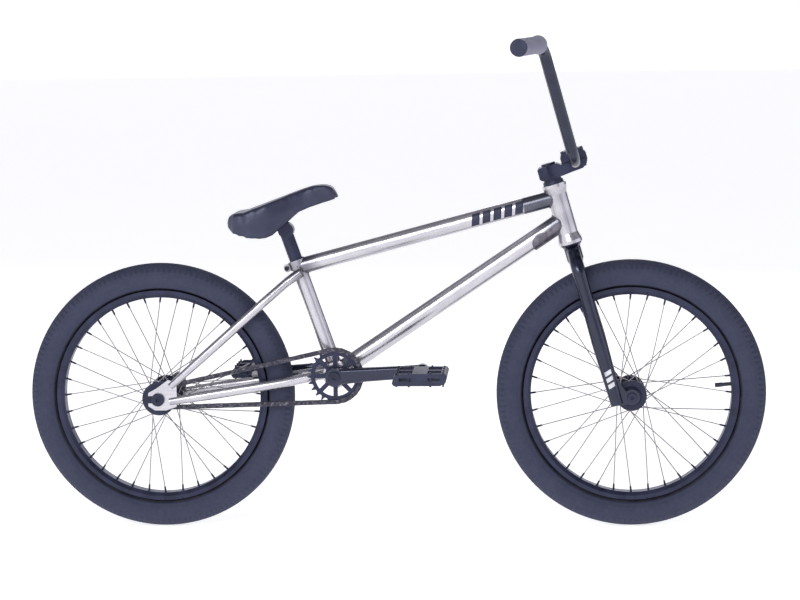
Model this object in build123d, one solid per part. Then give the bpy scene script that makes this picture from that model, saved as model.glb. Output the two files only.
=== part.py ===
from build123d import *

import os
from math import acos, atan2, cos, degrees, pi, radians, sin, sqrt

# BMX bike in millimetres: +X forward, +Y to the rider's left, +Z up.
# The origin is on the ground midway between the axles, and the drive side is -Y.

# ---------------------------------------------------------------- driving dimensions
WHEELBASE = 910.0
TYRE_RADIUS = 259.0
TYRE_SECTION = 28.0
HEAD_ANGLE = 74.3
FORK_OFFSET = 31.0
SEAT_TUBE_ANGLE = 70.9
BB_AHEAD_OF_AXLE = 342.5
BB_HEIGHT = 301.4
CRANK_LENGTH = 170.0
CRANK_ANGLE = 4.5
CHAIN_PITCH = 12.7
SPROCKET_TEETH = 25
DRIVER_TEETH = 9
CHAIN_LINE = -44.0
SPOKES_PER_WHEEL = 36
FRONT_DROPOUT_GAP = 100.0
REAR_DROPOUT_GAP = 110.0
RUNNING_GAP = 0.05

# wheel sections, as radii from the axle
TYRE_CENTRE = TYRE_RADIUS - TYRE_SECTION
TYRE_WALL = 3.0
RIM_INNER = 192.5
RIM_OUTER = 206.8
RIM_HALF_WIDTH = 16.0

# hub sections along Y, and the valves' angles from the top of the wheel
FRONT_FLANGES = (-32.0, 32.0)
REAR_FLANGES = (-22.0, 34.0)
FRONT_HUB_ENDS = (-43.0, 43.0)
REAR_HUB_ENDS = (-37.0, 46.0)
VALVE_ANGLE = 85.0

# tube radii
TOP_TUBE_R = 15.9
DOWN_TUBE_R = 17.5
SEAT_TUBE_R = 14.3
HEAD_TUBE_R = 19.4
CHAIN_STAY_R = 9.3
SEAT_STAY_R = 8.6
STAY_END_R = 7.2
BRIDGE_R = 6.0
STEERER_R = 14.3
BAR_R = 11.1
SEAT_POST_R = 12.7
FRAME_WALL = 1.2

# distances along the steering axis, from the foot of the front axle's perpendicular
HEAD_TUBE_LOW = 311.0
HEAD_TUBE_HIGH = 429.0
STEM_LOW = 441.0
STEM_HIGH = 466.5
BAR_ALONG = 461.0
BAR_AHEAD = 50.0
TOP_TUBE_MEETS = 403.0
DOWN_TUBE_MEETS = 358.7

REAR_AXLE = Vector(-WHEELBASE / 2, 0, TYRE_RADIUS)
FRONT_AXLE = Vector(WHEELBASE / 2, 0, TYRE_RADIUS)
BB = Vector(REAR_AXLE.X + BB_AHEAD_OF_AXLE, 0, BB_HEIGHT)
STEER_UP = Vector(-cos(radians(HEAD_ANGLE)), 0, sin(radians(HEAD_ANGLE)))
STEER_AHEAD = Vector(sin(radians(HEAD_ANGLE)), 0, cos(radians(HEAD_ANGLE)))
SEAT_UP = Vector(-cos(radians(SEAT_TUBE_ANGLE)), 0, sin(radians(SEAT_TUBE_ANGLE)))
SEAT_AHEAD = Vector(sin(radians(SEAT_TUBE_ANGLE)), 0, cos(radians(SEAT_TUBE_ANGLE)))
SIDE = Vector(0, 1, 0)


def steer(along, ahead=0.0, side=0.0):
    """Point given along, ahead of and beside the steering axis."""
    return FRONT_AXLE + STEER_AHEAD * (ahead - FORK_OFFSET) + STEER_UP * along + SIDE * side


def on_seat(along, ahead=0.0, side=0.0):
    """Point given along, ahead of and beside the seat tube's axis, from the crank axle."""
    return BB + SEAT_UP * along + SEAT_AHEAD * ahead + SIDE * side


SEAT_PLANE = Plane(origin=BB, x_dir=SEAT_AHEAD, z_dir=SEAT_UP)


# ---------------------------------------------------------------- shape helpers
def rod(start, end, radius):
    """Round bar from one point to another."""
    plane = Plane(origin=start, z_dir=end - start)
    return extrude(plane * Circle(radius), (end - start).length)


def cone(start, end, start_radius, end_radius):
    """Tapered round bar from one point to another."""
    length = (end - start).length
    body = Cone(start_radius, end_radius, length, align=(Align.CENTER, Align.CENTER, Align.MIN))
    return Plane(origin=start, z_dir=end - start) * body


def pipe(start, end, outer, inner):
    """Open round tube from one point to another."""
    over = (end - start).normalized() * 1.0
    return rod(start, end, outer) - rod(start - over, end + over, inner)


def disc(centre, low, high, outer, inner=0.0):
    """Ring about a Y axis through centre, from y = low to y = high."""
    start = Vector(centre.X, low, centre.Z)
    end = Vector(centre.X, high, centre.Z)
    if inner:
        return pipe(start, end, outer, inner)
    return rod(start, end, outer)


def steer_ring(low, high, outer, inner):
    """Ring about the steering axis."""
    return pipe(steer(low), steer(high), outer, inner)


def bent_tube(points, radius, bends, wall=0.0):
    """Round tube along straight runs joined by arcs."""
    path = FilletPolyline(*points, radius=bends)
    plane = Plane(origin=points[0], z_dir=points[1] - points[0])
    outer = sweep(plane * Circle(radius), path=path)
    if not wall:
        return outer
    return outer - sweep(plane * Circle(radius - wall), path=path)


def turned(profile, centre):
    """Solid of revolution about the Y axis through centre from (y, radius) points."""
    face = Plane.YZ * Polygon(*profile, align=None)
    return Pos(centre.X, 0, centre.Z) * revolve(face, Axis.Y)


def side_plate(points, low, high):
    """Flat plate cut from an (x, z) outline, from y = low to y = high."""
    face = Plane(origin=(0, low, 0), x_dir=(1, 0, 0), z_dir=(0, 1, 0))
    outline = [(x, -z) for x, z in points]
    return extrude(face * Polygon(*outline, align=None), high - low, dir=(0, 1, 0))


def mirrored(part):
    """The same piece on the other side of the bike."""
    return mirror(part, about=Plane.XZ)


def both(part):
    """A piece and its mirror image, as two solids."""
    return group([part, mirrored(part)])


def group(parts):
    """Several separate solids under one name."""
    return Compound(children=[solid for part in parts for solid in part.solids()])


# ---------------------------------------------------------------- frame
def head_tube_outside():
    """Head tube without its bore, flared at both ends around the bearings."""
    middle = (HEAD_TUBE_LOW + HEAD_TUBE_HIGH) / 2
    half = (HEAD_TUBE_HIGH - HEAD_TUBE_LOW) / 2
    lip = HEAD_TUBE_R + 3.8
    profile = [
        (0, -half),
        (lip, -half),
        (lip, -half + 6),
        (HEAD_TUBE_R, -half + 20),
        (HEAD_TUBE_R, half - 20),
        (lip, half - 6),
        (lip, half),
        (0, half),
    ]
    plane = Plane(origin=steer(middle), x_dir=STEER_AHEAD, z_dir=-SIDE)
    return revolve(plane * Polygon(*profile, align=None), Axis(steer(middle), STEER_UP))


def make_head_tube():
    body = head_tube_outside()
    body -= rod(steer(HEAD_TUBE_LOW - 1), steer(HEAD_TUBE_HIGH + 1), 17.2)
    body -= rod(steer(HEAD_TUBE_LOW - 1), steer(HEAD_TUBE_LOW + 9), 21.0)
    body -= rod(steer(HEAD_TUBE_HIGH - 9), steer(HEAD_TUBE_HIGH + 1), 21.0)
    return body


HEAD_TUBE_CORE = head_tube_outside()
TOP_TUBE_REAR = on_seat(219)
TOP_TUBE_FRONT = steer(TOP_TUBE_MEETS)
DOWN_TUBE_FRONT = steer(DOWN_TUBE_MEETS)
SEAT_TUBE_TOP = 233.0
SEAT_TUBE_CORE = rod(on_seat(0), on_seat(SEAT_TUBE_TOP + 20), SEAT_TUBE_R)
BB_HALF_WIDTH = 36.5
BB_SHELL_R = 25.0
BB_CORE = disc(BB, -BB_HALF_WIDTH, BB_HALF_WIDTH, BB_SHELL_R)


def make_top_tube():
    tube = pipe(TOP_TUBE_REAR, TOP_TUBE_FRONT, TOP_TUBE_R, TOP_TUBE_R - FRAME_WALL)
    return tube - HEAD_TUBE_CORE - SEAT_TUBE_CORE


def make_down_tube():
    tube = pipe(BB, DOWN_TUBE_FRONT, DOWN_TUBE_R, DOWN_TUBE_R - FRAME_WALL)
    return tube - HEAD_TUBE_CORE - BB_CORE - SEAT_TUBE_CORE


def make_down_tube_gusset():
    """Saddle plate welded under the down tube behind the head tube, with a rounded tail."""
    along = (BB - DOWN_TUBE_FRONT).normalized()
    below = Vector(along.Z, 0, -along.X)
    below = below if below.Z < 0 else below * -1
    start = DOWN_TUBE_FRONT + along * 10
    end = DOWN_TUBE_FRONT + along * 82
    saddle = pipe(start, end, DOWN_TUBE_R + 2.3, DOWN_TUBE_R + 0.02)
    tail = DOWN_TUBE_FRONT + along * 58 + below * 14
    keep = rod(tail - SIDE * 30, tail + SIDE * 30, 20)
    lower_half = Plane(origin=DOWN_TUBE_FRONT + along * 29 + below * 17, x_dir=along, z_dir=SIDE)
    keep += lower_half * Box(58, 36, 60)
    return (saddle & keep) - HEAD_TUBE_CORE


def make_seat_tube():
    tube = rod(on_seat(0), on_seat(SEAT_TUBE_TOP), SEAT_TUBE_R)
    collar = rod(on_seat(SEAT_TUBE_TOP - 17), on_seat(SEAT_TUBE_TOP), SEAT_TUBE_R + 2.6)
    tube += collar - rod(TOP_TUBE_REAR, TOP_TUBE_FRONT, TOP_TUBE_R)
    ears = SEAT_PLANE * Pos(-21, 0, SEAT_TUBE_TOP - 9) * Box(12, 17, 15)
    tube += fillet(ears.edges().filter_by(Axis.Y), 4.5)
    tube -= rod(on_seat(0), on_seat(SEAT_TUBE_TOP + 1), SEAT_POST_R + RUNNING_GAP)
    tube -= SEAT_PLANE * Pos(-22, 0, SEAT_TUBE_TOP - 12) * Box(22, 1.6, 26)
    tube -= seat_clamp_bolt_hole()
    return tube - BB_CORE


def seat_clamp_bolt_hole():
    return rod(on_seat(SEAT_TUBE_TOP - 9, -21.5, -20), on_seat(SEAT_TUBE_TOP - 9, -21.5, 20), 3.0)


def make_seat_clamp_bolt():
    start = on_seat(SEAT_TUBE_TOP - 9, -21.5, -8.6)
    shank = rod(start, start + SIDE * 22, 2.95)
    head = rod(start - SIDE * 4.5, start, 4.6)
    socket = Plane(origin=start - SIDE * 5, z_dir=SIDE) * extrude(RegularPolygon(2.4, 6), 3.5)
    return shank + head - socket


def make_bb_shell():
    shell = disc(BB, -BB_HALF_WIDTH, BB_HALF_WIDTH, BB_SHELL_R, 17.0)
    shell -= disc(BB, -BB_HALF_WIDTH - 1, -BB_HALF_WIDTH + 12.1, 20.6)
    shell -= disc(BB, BB_HALF_WIDTH - 12.1, BB_HALF_WIDTH + 1, 20.6)
    return shell


def tapered_stay(points, bends, radius, end_radius, share, wall):
    """Bent tube whose last run narrows towards the dropout."""
    rear, knee = points[0], points[1]
    waist = rear + (knee - rear) * share
    tube = bent_tube([waist] + points[1:], radius, bends, wall)
    tip = cone(rear, waist, end_radius, radius)
    if wall:
        tip -= cone(rear, waist, end_radius - wall, radius - wall)
    return tube + tip


def chain_stay_outside(wall=0.0):
    """Left chain stay from the dropout, in past the tyre to the crank shell."""
    rear = REAR_AXLE + Vector(22, 60, -4)
    bend = REAR_AXLE + Vector(236, 40.5, 27.5)
    front = BB + Vector(-18, 24.5, 1)
    return tapered_stay([rear, bend, front], 260, CHAIN_STAY_R, STAY_END_R, 0.36, wall)


def seat_stay_outside(wall=0.0):
    """Left seat stay from the dropout, past the tyre, closing in on the seat tube."""
    rear = REAR_AXLE + Vector(24, 59.6, 25)
    wide = REAR_AXLE + Vector(204, 41.5, 183)
    near = REAR_AXLE + Vector(249, 24, 221)
    top = on_seat(208, 0, 16.5)
    return tapered_stay([rear, wide, near, top], [90, 60], SEAT_STAY_R, STAY_END_R - 0.4, 0.36, wall)


def stays_with_bridge(tube, solid_tube, bridge_at):
    """A pair of stays and the small tube welded between them."""
    bridge = rod(bridge_at - SIDE * 45, bridge_at + SIDE * 45, BRIDGE_R)
    bridge = bridge - solid_tube - mirrored(solid_tube)
    middle = [part for part in bridge.solids() if abs(part.center().Y) < 5]
    largest = max(tube.solids(), key=lambda part: part.volume)
    return group([largest, mirrored(largest)] + middle)


def make_chain_stays():
    tube = chain_stay_outside(1.4) - BB_CORE
    return stays_with_bridge(tube, chain_stay_outside(), REAR_AXLE + Vector(286, 0, 35.3))


def make_seat_stays():
    tube = seat_stay_outside(1.4) - SEAT_TUBE_CORE
    return stays_with_bridge(tube, seat_stay_outside(), REAR_AXLE + Vector(214, 0, 192))


def make_rear_dropouts():
    """Six-sided plates, slotted to the rear so that the wheel can be pulled tight on its chain."""
    half = REAR_DROPOUT_GAP / 2
    outline = [(-19, -13), (-19, 13), (-4, 21), (20, 38), (36, 28), (36, -14), (16, -21), (-6, -21)]
    points = [(REAR_AXLE.X + x, REAR_AXLE.Z + z) for x, z in outline]
    plate = side_plate(points, half, half + 6)
    plate = fillet(plate.edges().filter_by(Axis.Y), 3.0)
    slot = disc(REAR_AXLE, half - 1, half + 7, 7.1)
    slot += Pos(REAR_AXLE.X - 12, half + 3, REAR_AXLE.Z) * Box(24, 8, 14.2)
    plate = plate - slot
    return both(plate - chain_stay_outside() - seat_stay_outside())


def make_headset_bearings():
    low = steer_ring(HEAD_TUBE_LOW + 1.5, HEAD_TUBE_LOW + 8.5, 20.95, STEERER_R + RUNNING_GAP)
    high = steer_ring(HEAD_TUBE_HIGH - 8.5, HEAD_TUBE_HIGH - 1.5, 20.95, STEERER_R + RUNNING_GAP)
    return group([low, high])


def make_bb_bearings():
    bearing = disc(BB, BB_HALF_WIDTH - 12, BB_HALF_WIDTH, 20.55, 9.5 + RUNNING_GAP)
    return both(bearing)


def make_rear_axle():
    half = REAR_DROPOUT_GAP / 2 + 6
    axle = disc(REAR_AXLE, -half, half, 7.0)
    return axle - disc(REAR_AXLE, -half - 1, -half + 22, 4.0) - disc(REAR_AXLE, half - 22, half + 1, 4.0)


def make_axle_bolts(centre, gap, reach, head_radius, head_height, shank_radius):
    """Pair of button-head bolts that screw into the ends of a hollow axle."""
    face = gap / 2 + 6
    head = disc(centre, face, face + head_height, head_radius)
    head = chamfer(head.edges().group_by(Axis.Y)[-1], 1.2)
    bolt = head + disc(centre, face - reach, face, shank_radius)
    socket = extrude(RegularPolygon(4, 6), 5)
    bolt -= Pos(centre.X, face + head_height - 4, centre.Z) * Rot(-90, 0, 0) * socket
    return both(bolt)


def dished_guard(face, hub_end, bore, hub_radius, radius, depth):
    """Left guard: its hub is held between axle and dropout and its disc is dished over the flange."""
    profile = [
        (hub_end + 0.4, bore),
        (face, bore),
        (face, hub_radius - 2.5),
        (face - 5, hub_radius + 2),
        (face - depth + 2.0, hub_radius + 4),
        (face - depth + 2.0, radius - 1.0),
        (face - depth + 1.2, radius),
        (face - depth, radius),
        (face - depth, hub_radius + 1.4),
        (hub_end + 0.4, hub_radius + 1.4),
    ]
    return profile


def make_front_hub_guards():
    face = FRONT_DROPOUT_GAP / 2 - 0.05
    return both(turned(dished_guard(face, FRONT_HUB_ENDS[1], 5.05, 15.05, 29.0, 11.8), FRONT_AXLE))


def make_rear_hub_guards():
    """A dished guard on the left, and on the drive side a flat one outside the cog."""
    face = REAR_DROPOUT_GAP / 2 - 0.05
    left = turned(dished_guard(face, REAR_HUB_ENDS[1], 7.05, 18.05, 32.5, 14.6), REAR_AXLE)
    right = disc(REAR_AXLE, -51.4, -49.3, 32.5, 7.05) + disc(REAR_AXLE, -face, -51.4, 14.0, 7.05)
    return group([left, right])


# ---------------------------------------------------------------- fork and stem
LEG_SIDE = 53.0
LEG_BEND = 262.0
LEG_FOOT_R = 12.0
LEG_MIDDLE_R = 14.8
LEG_TOP_R = 12.8
STEERER_FOOT_R = 16.2
CROWN_RACE_R = 20.5


def make_fork_steerer():
    """Steerer tube with its thick foot, which carries the lower bearing's seat."""
    body = rod(steer(283), steer(STEM_HIGH - 1), STEERER_R)
    body += cone(steer(272), steer(279), STEERER_FOOT_R - 3, STEERER_FOOT_R - 0.1)
    body += rod(steer(279), steer(303), STEERER_FOOT_R - 0.1)
    body += cone(steer(303), steer(308.5), STEERER_FOOT_R - 0.1, CROWN_RACE_R)
    body += rod(steer(308.5), steer(HEAD_TUBE_LOW - 0.4), CROWN_RACE_R)
    body += cone(steer(HEAD_TUBE_LOW - 0.4), steer(HEAD_TUBE_LOW + 1.2), 17.0, 15.2)
    body -= rod(steer(284), steer(STEM_HIGH), STEERER_R - 3.2)
    return body


def fork_leg_outside(shrink=0.0):
    """One leg without its bore: thickest at half height, bent in to the steerer's foot."""
    foot = steer(-6 + 4 * shrink, 0, LEG_SIDE)
    middle = steer(118, 0, LEG_SIDE)
    neck = steer(LEG_BEND - 38, 0, LEG_SIDE)
    leg = cone(foot, middle, LEG_FOOT_R - shrink, LEG_MIDDLE_R - shrink)
    leg += cone(middle, neck, LEG_MIDDLE_R - shrink, LEG_TOP_R - shrink)
    corner = steer(LEG_BEND + 6, 0, LEG_SIDE)
    top = steer(LEG_BEND + 34, 0, 10)
    return leg + bent_tube([neck, corner, top], LEG_TOP_R - shrink, 30)


def make_fork_legs():
    """Tapered hollow legs that end against the steerer's foot."""
    leg = fork_leg_outside() - fork_leg_outside(2.2)
    leg -= rod(steer(240), steer(303), STEERER_FOOT_R)
    leg -= rod(steer(303), steer(330), 22.5)
    return both(max(leg.solids(), key=lambda part: part.volume))


def make_fork_dropouts():
    """Plates from the legs' feet forward to the axle, closed around it."""
    half = FRONT_DROPOUT_GAP / 2
    corners = [steer(46, 0), steer(-8, 0), steer(-10, 10), steer(-11, 24), steer(12, 24), steer(44, 12)]
    plate = side_plate([(p.X, p.Z) for p in corners], half, half + 6)
    plate += disc(FRONT_AXLE, half, half + 6, 15.0)
    plate -= disc(FRONT_AXLE, half - 1, half + 7, 5.1)
    plate -= fork_leg_outside()
    return both(max(plate.solids(), key=lambda part: part.volume))


def make_headset_top_cap():
    cap = cone(steer(HEAD_TUBE_HIGH + 0.4), steer(436), 20.2, 19.2)
    cap += rod(steer(436), steer(STEM_LOW - 0.05), 17.2)
    return cap - rod(steer(HEAD_TUBE_HIGH), steer(STEM_LOW + 1), STEERER_R + RUNNING_GAP)


def make_fork_top_bolt():
    bolt = rod(steer(STEM_HIGH + 0.1), steer(STEM_HIGH + 4.0), 13.5)
    bolt += rod(steer(STEM_HIGH - 24), steer(STEM_HIGH + 0.1), STEERER_R - 3.3)
    foot = Plane(origin=steer(STEM_HIGH + 1), x_dir=SIDE, z_dir=STEER_UP)
    socket = foot * extrude(RegularPolygon(4.6, 6), 4)
    return bolt - socket


STEM_HALF_WIDTH = 25.0
CLAMP_BOLTS = [(BAR_AHEAD + along, side) for along in (-17.0, 17.0) for side in (-16.5, 16.5)]
PINCH_BOLTS = (447.5, 459.5)


def stem_profile(points, half_width):
    """Block across the bike cut from an outline of (ahead, along) points about the steering axis."""
    plane = Plane(origin=steer(0, 0, -half_width), x_dir=STEER_AHEAD, z_dir=-SIDE)
    return extrude(plane * Polygon(*points, align=None), 2 * half_width, dir=SIDE)


def bar_clamp_bore():
    return rod(steer(BAR_ALONG, BAR_AHEAD, -60), steer(BAR_ALONG, BAR_AHEAD, 60), BAR_R + RUNNING_GAP)


def make_stem_body():
    jaw = 25.0
    points = [
        (-23, STEM_LOW + 4),
        (-19, STEM_LOW),
        (22, STEM_LOW),
        (40, STEM_LOW + 2),
        (BAR_AHEAD + 12, STEM_LOW + 3.5),
        (BAR_AHEAD + 21, STEM_LOW + 10),
        (BAR_AHEAD + jaw, STEM_LOW + 19),
        (BAR_AHEAD + jaw, BAR_ALONG + 1),
        (22, BAR_ALONG + 1),
        (17, STEM_HIGH),
        (-19, STEM_HIGH),
        (-23, STEM_HIGH - 4),
    ]
    body = stem_profile(points, STEM_HALF_WIDTH)
    waist = steer(452, 0, 0)
    for side in (-1, 1):
        trim = Plane(origin=waist + SIDE * side * 43, x_dir=STEER_AHEAD, z_dir=STEER_UP) * Pos(8, 0, 0)
        body -= trim * Cylinder(22, 60)
    body -= rod(steer(STEM_LOW - 1), steer(STEM_HIGH + 1), STEERER_R + RUNNING_GAP)
    body -= bar_clamp_bore()
    slot = Plane(origin=steer(453, -24, 0), x_dir=STEER_AHEAD, z_dir=STEER_UP) * Box(24, 2.2, 60)
    body -= slot
    for ahead, side in CLAMP_BOLTS:
        body -= rod(steer(STEM_LOW + 5, ahead, side), steer(480, ahead, side), 3.05)
    for along in PINCH_BOLTS:
        body -= rod(steer(along, -18.6, -30), steer(along, -18.6, 17), 2.55)
        body -= rod(steer(along, -18.6, -30), steer(along, -18.6, -21), 4.3)
    return body


def make_stem_cap():
    base = BAR_ALONG + 2.5
    points = [
        (BAR_AHEAD - 25, base),
        (BAR_AHEAD + 25, base),
        (BAR_AHEAD + 25, base + 9),
        (BAR_AHEAD + 19, base + 18),
        (BAR_AHEAD + 11, base + 21.5),
        (BAR_AHEAD - 11, base + 21.5),
        (BAR_AHEAD - 21, base + 17),
        (BAR_AHEAD - 25, base + 9),
    ]
    cap = stem_profile(points, STEM_HALF_WIDTH) - bar_clamp_bore()
    for ahead, side in CLAMP_BOLTS:
        cap -= rod(steer(440, ahead, side), steer(500, ahead, side), 3.05)
        cap -= rod(steer(base + 14, ahead, side), steer(500, ahead, side), 5.2)
    return cap


def make_stem_bolts():
    """Four cap bolts from above and two pinch bolts across the steerer clamp."""
    bolts = []
    seat = BAR_ALONG + 2.5 + 14
    for ahead, side in CLAMP_BOLTS:
        bolt = rod(steer(STEM_LOW + 6, ahead, side), steer(seat, ahead, side), 3.0)
        bolt += rod(steer(seat, ahead, side), steer(seat + 6, ahead, side), 5.0)
        hexagon = Plane(origin=steer(seat + 3, ahead, side), x_dir=SIDE, z_dir=STEER_UP)
        bolts.append(bolt - hexagon * extrude(RegularPolygon(2.9, 6), 4))
    for along in PINCH_BOLTS:
        bolt = rod(steer(along, -18.6, -21), steer(along, -18.6, 16), 2.5)
        bolt += rod(steer(along, -18.6, -24.5), steer(along, -18.6, -21), 4.2)
        bolts.append(bolt)
    return group(bolts)


def make_front_axle():
    half = FRONT_DROPOUT_GAP / 2 + 6
    axle = disc(FRONT_AXLE, -half, half, 5.0)
    return axle - disc(FRONT_AXLE, -half - 1, -half + 18, 3.0) - disc(FRONT_AXLE, half - 18, half + 1, 3.0)


# ---------------------------------------------------------------- handlebar
BAR_CORNER_LOW = 78.0
BAR_CORNER_HIGH = 192.0
BAR_TOP_ALONG = 691.0
BAR_END = 363.0
GRIP_LENGTH = 146.0


def bar_corners():
    """Corner points of one half of the handlebar, from its middle out to the end of the grip."""
    return [
        steer(BAR_ALONG, BAR_AHEAD, 0),
        steer(BAR_ALONG, BAR_AHEAD, BAR_CORNER_LOW),
        steer(BAR_TOP_ALONG, BAR_AHEAD + 1, BAR_CORNER_HIGH),
        steer(BAR_TOP_ALONG + 6, BAR_AHEAD - 39, BAR_END),
    ]


BAR_OUT = (bar_corners()[3] - bar_corners()[2]).normalized()


def make_handlebar():
    half = bar_corners()
    points = [Vector(p.X, -p.Y, p.Z) for p in reversed(half[1:])] + half[1:]
    return bent_tube(points, BAR_R, [50, 58, 58, 50], 1.3)


def make_crossbar():
    """Brace across the uprights, two thirds of the way up."""
    low, high = bar_corners()[1], bar_corners()[2]
    middle = low + (high - low) * 0.56
    reach = Vector(middle.X, 0, middle.Z)
    brace = pipe(reach - SIDE * middle.Y, reach + SIDE * middle.Y, 8.0, 6.8)
    upright = rod(low, high, BAR_R)
    brace = brace - upright - mirrored(upright)
    return max(brace.solids(), key=lambda part: part.volume)


def make_grip():
    """Ribbed rubber sleeve on the left end of the bar."""
    end = bar_corners()[3]
    start = end - BAR_OUT * GRIP_LENGTH
    bore = BAR_R + 0.05
    profile = [
        (bore, 0),
        (17.5, 0),
        (17.5, 3),
        (15.0, 5),
        (15.0, GRIP_LENGTH - 4),
        (16.2, GRIP_LENGTH - 2),
        (16.2, GRIP_LENGTH + 1),
        (bore, GRIP_LENGTH + 1),
    ]
    across = Plane(origin=start, x_dir=STEER_AHEAD, z_dir=BAR_OUT).x_dir
    face = Plane(origin=start, x_dir=across, z_dir=across.cross(BAR_OUT))
    return revolve(face * Polygon(*profile, align=None), Axis(start, BAR_OUT))


def make_bar_end_plugs():
    end = bar_corners()[3] + BAR_OUT * 1.05
    plug = rod(end, end + BAR_OUT * 3, 15.6) + rod(end - BAR_OUT * 16, end, BAR_R - 1.4)
    return both(plug)


# ---------------------------------------------------------------- wheels
FLANGE_HOLE_R = 26.0
FLANGE_THICK = 3.2
SPOKE_OUT = 4.6
FLANGE_ANGLES = (0.0, 10.0)


def make_tyre(centre):
    """Hollow carcass with its two beads hooked inside the rim."""
    ring = Pos(0, TYRE_CENTRE) * (Circle(TYRE_SECTION) - Circle(TYRE_SECTION - TYRE_WALL))
    shell = revolve(Plane.YZ * ring, Axis.Y)
    throat = turned([(-10.4, 190), (-10.4, 216), (10.4, 216), (10.4, 190)], Vector(0, 0, 0))
    shell -= throat
    for side in (-1, 1):
        bead = Plane.YZ * Pos(side * 12.2, 205.6) * Circle(2.0)
        shell += revolve(bead, Axis.Y)
    return Pos(centre.X, 0, centre.Z) * shell


def make_inner_tube(centre, valve_angle):
    """Butyl tube inside the tyre, with its valve through the rim towards the hub."""
    radius = TYRE_SECTION - TYRE_WALL - 0.4
    ring = Plane.YZ * Pos(0, TYRE_CENTRE) * (Circle(radius) - Circle(radius - 1.2))
    tube = revolve(ring, Axis.Y)
    valve = rod(Vector(0, 0, 175), Vector(0, 0, TYRE_CENTRE - radius + 0.6), 3.6)
    valve += rod(Vector(0, 0, 162), Vector(0, 0, 176), 4.2)
    tube += Rot(0, valve_angle, 0) * valve
    return Pos(centre.X, 0, centre.Z) * tube


def spoke_ends(flange, hub_angle, rim_angle, lean):
    """Start at the flange hole and end at the rim for one spoke, about the origin."""
    start = Vector(FLANGE_HOLE_R * sin(radians(hub_angle)), flange, FLANGE_HOLE_R * cos(radians(hub_angle)))
    end = Vector(RIM_INNER * sin(radians(rim_angle)), lean, RIM_INNER * cos(radians(rim_angle)))
    return start, end


def spoke_lines(right, left):
    """One spoke of each of the four kinds; each kind repeats nine times around the wheel."""
    lines = []
    for flange, shift in zip((right, left), FLANGE_ANGLES):
        lean = 2.5 if flange > 0 else -2.5
        sign = 1 if flange > 0 else -1
        outside = flange + sign * SPOKE_OUT
        inside = flange - sign * SPOKE_OUT
        lines.append((spoke_ends(outside, shift - 60, shift, lean), -sign))
        lines.append((spoke_ends(inside, shift + 80, shift + 20, lean), sign))
    return lines


def repeat_around(shapes, centre):
    copies = []
    for turn in range(SPOKES_PER_WHEEL // 4):
        place = Pos(centre.X, 0, centre.Z) * Rot(0, 40.0 * turn, 0)
        copies += [place * shape for shape in shapes]
    return group(copies)


def make_spokes(centre, right, left):
    """Wire spokes with their elbows through the hub flanges."""
    kinds = []
    for (start, end), into in spoke_lines(right, left):
        along = (end - start).normalized()
        spoke = rod(start, end - along * 8.0, 1.0)
        elbow = start + SIDE * into * (SPOKE_OUT + FLANGE_THICK / 2 + 0.1)
        spoke += rod(start, elbow, 1.0) + rod(elbow, elbow + SIDE * into * 0.9, 1.7)
        spoke += Pos(start.X, start.Y, start.Z) * Sphere(1.0)
        kinds.append(spoke)
    return repeat_around(kinds, centre)


def make_nipples(centre, right, left):
    """Spoke nipples, seated in the rim's inner wall."""
    kinds = []
    for (start, end), _ in spoke_lines(right, left):
        along = (end - start).normalized()
        nipple = rod(end - along * 8.0, end + along * 2.6, 1.9)
        tip = cone(end - along * 11.0, end - along * 8.0, 1.25, 1.9)
        nipple += tip - rod(end - along * 12, end - along * 8.0, 1.02)
        nipple += rod(end + along * 2.6, end + along * 4.4, 2.7)
        kinds.append(nipple)
    return repeat_around(kinds, centre)


def make_rim(centre, right, left, valve_angle):
    """Double-wall rim with hooked edges, drilled for its nipples and valve."""
    outer = [
        (-RIM_HALF_WIDTH, RIM_OUTER),
        (-RIM_HALF_WIDTH, 199),
        (-11, RIM_INNER),
        (11, RIM_INNER),
        (RIM_HALF_WIDTH, 199),
        (RIM_HALF_WIDTH, RIM_OUTER),
        (14.6, RIM_OUTER),
        (14.6, 203.2),
        (9, 202.2),
        (9, 200.6),
        (-9, 200.6),
        (-9, 202.2),
        (-14.6, 203.2),
        (-14.6, RIM_OUTER),
    ]
    hollow = [(-10.2, 194.2), (10.2, 194.2), (13.4, 198.6), (13.4, 199.2), (-13.4, 199.2), (-13.4, 198.6)]
    rim = turned(outer, Vector(0, 0, 0)) - turned(hollow, Vector(0, 0, 0))
    drills = []
    for (start, end), _ in spoke_lines(right, left):
        along = (end - start).normalized()
        drills.append(rod(end - along * 2, end + along * 2.3, 2.15))
    drills = repeat_around(drills, Vector(0, 0, 0))
    rim = rim - drills.solids()
    rim -= Rot(0, valve_angle, 0) * rod(Vector(0, 0, 185), Vector(0, 0, 206), 4.3)
    return Pos(centre.X, 0, centre.Z) * rim


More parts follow.
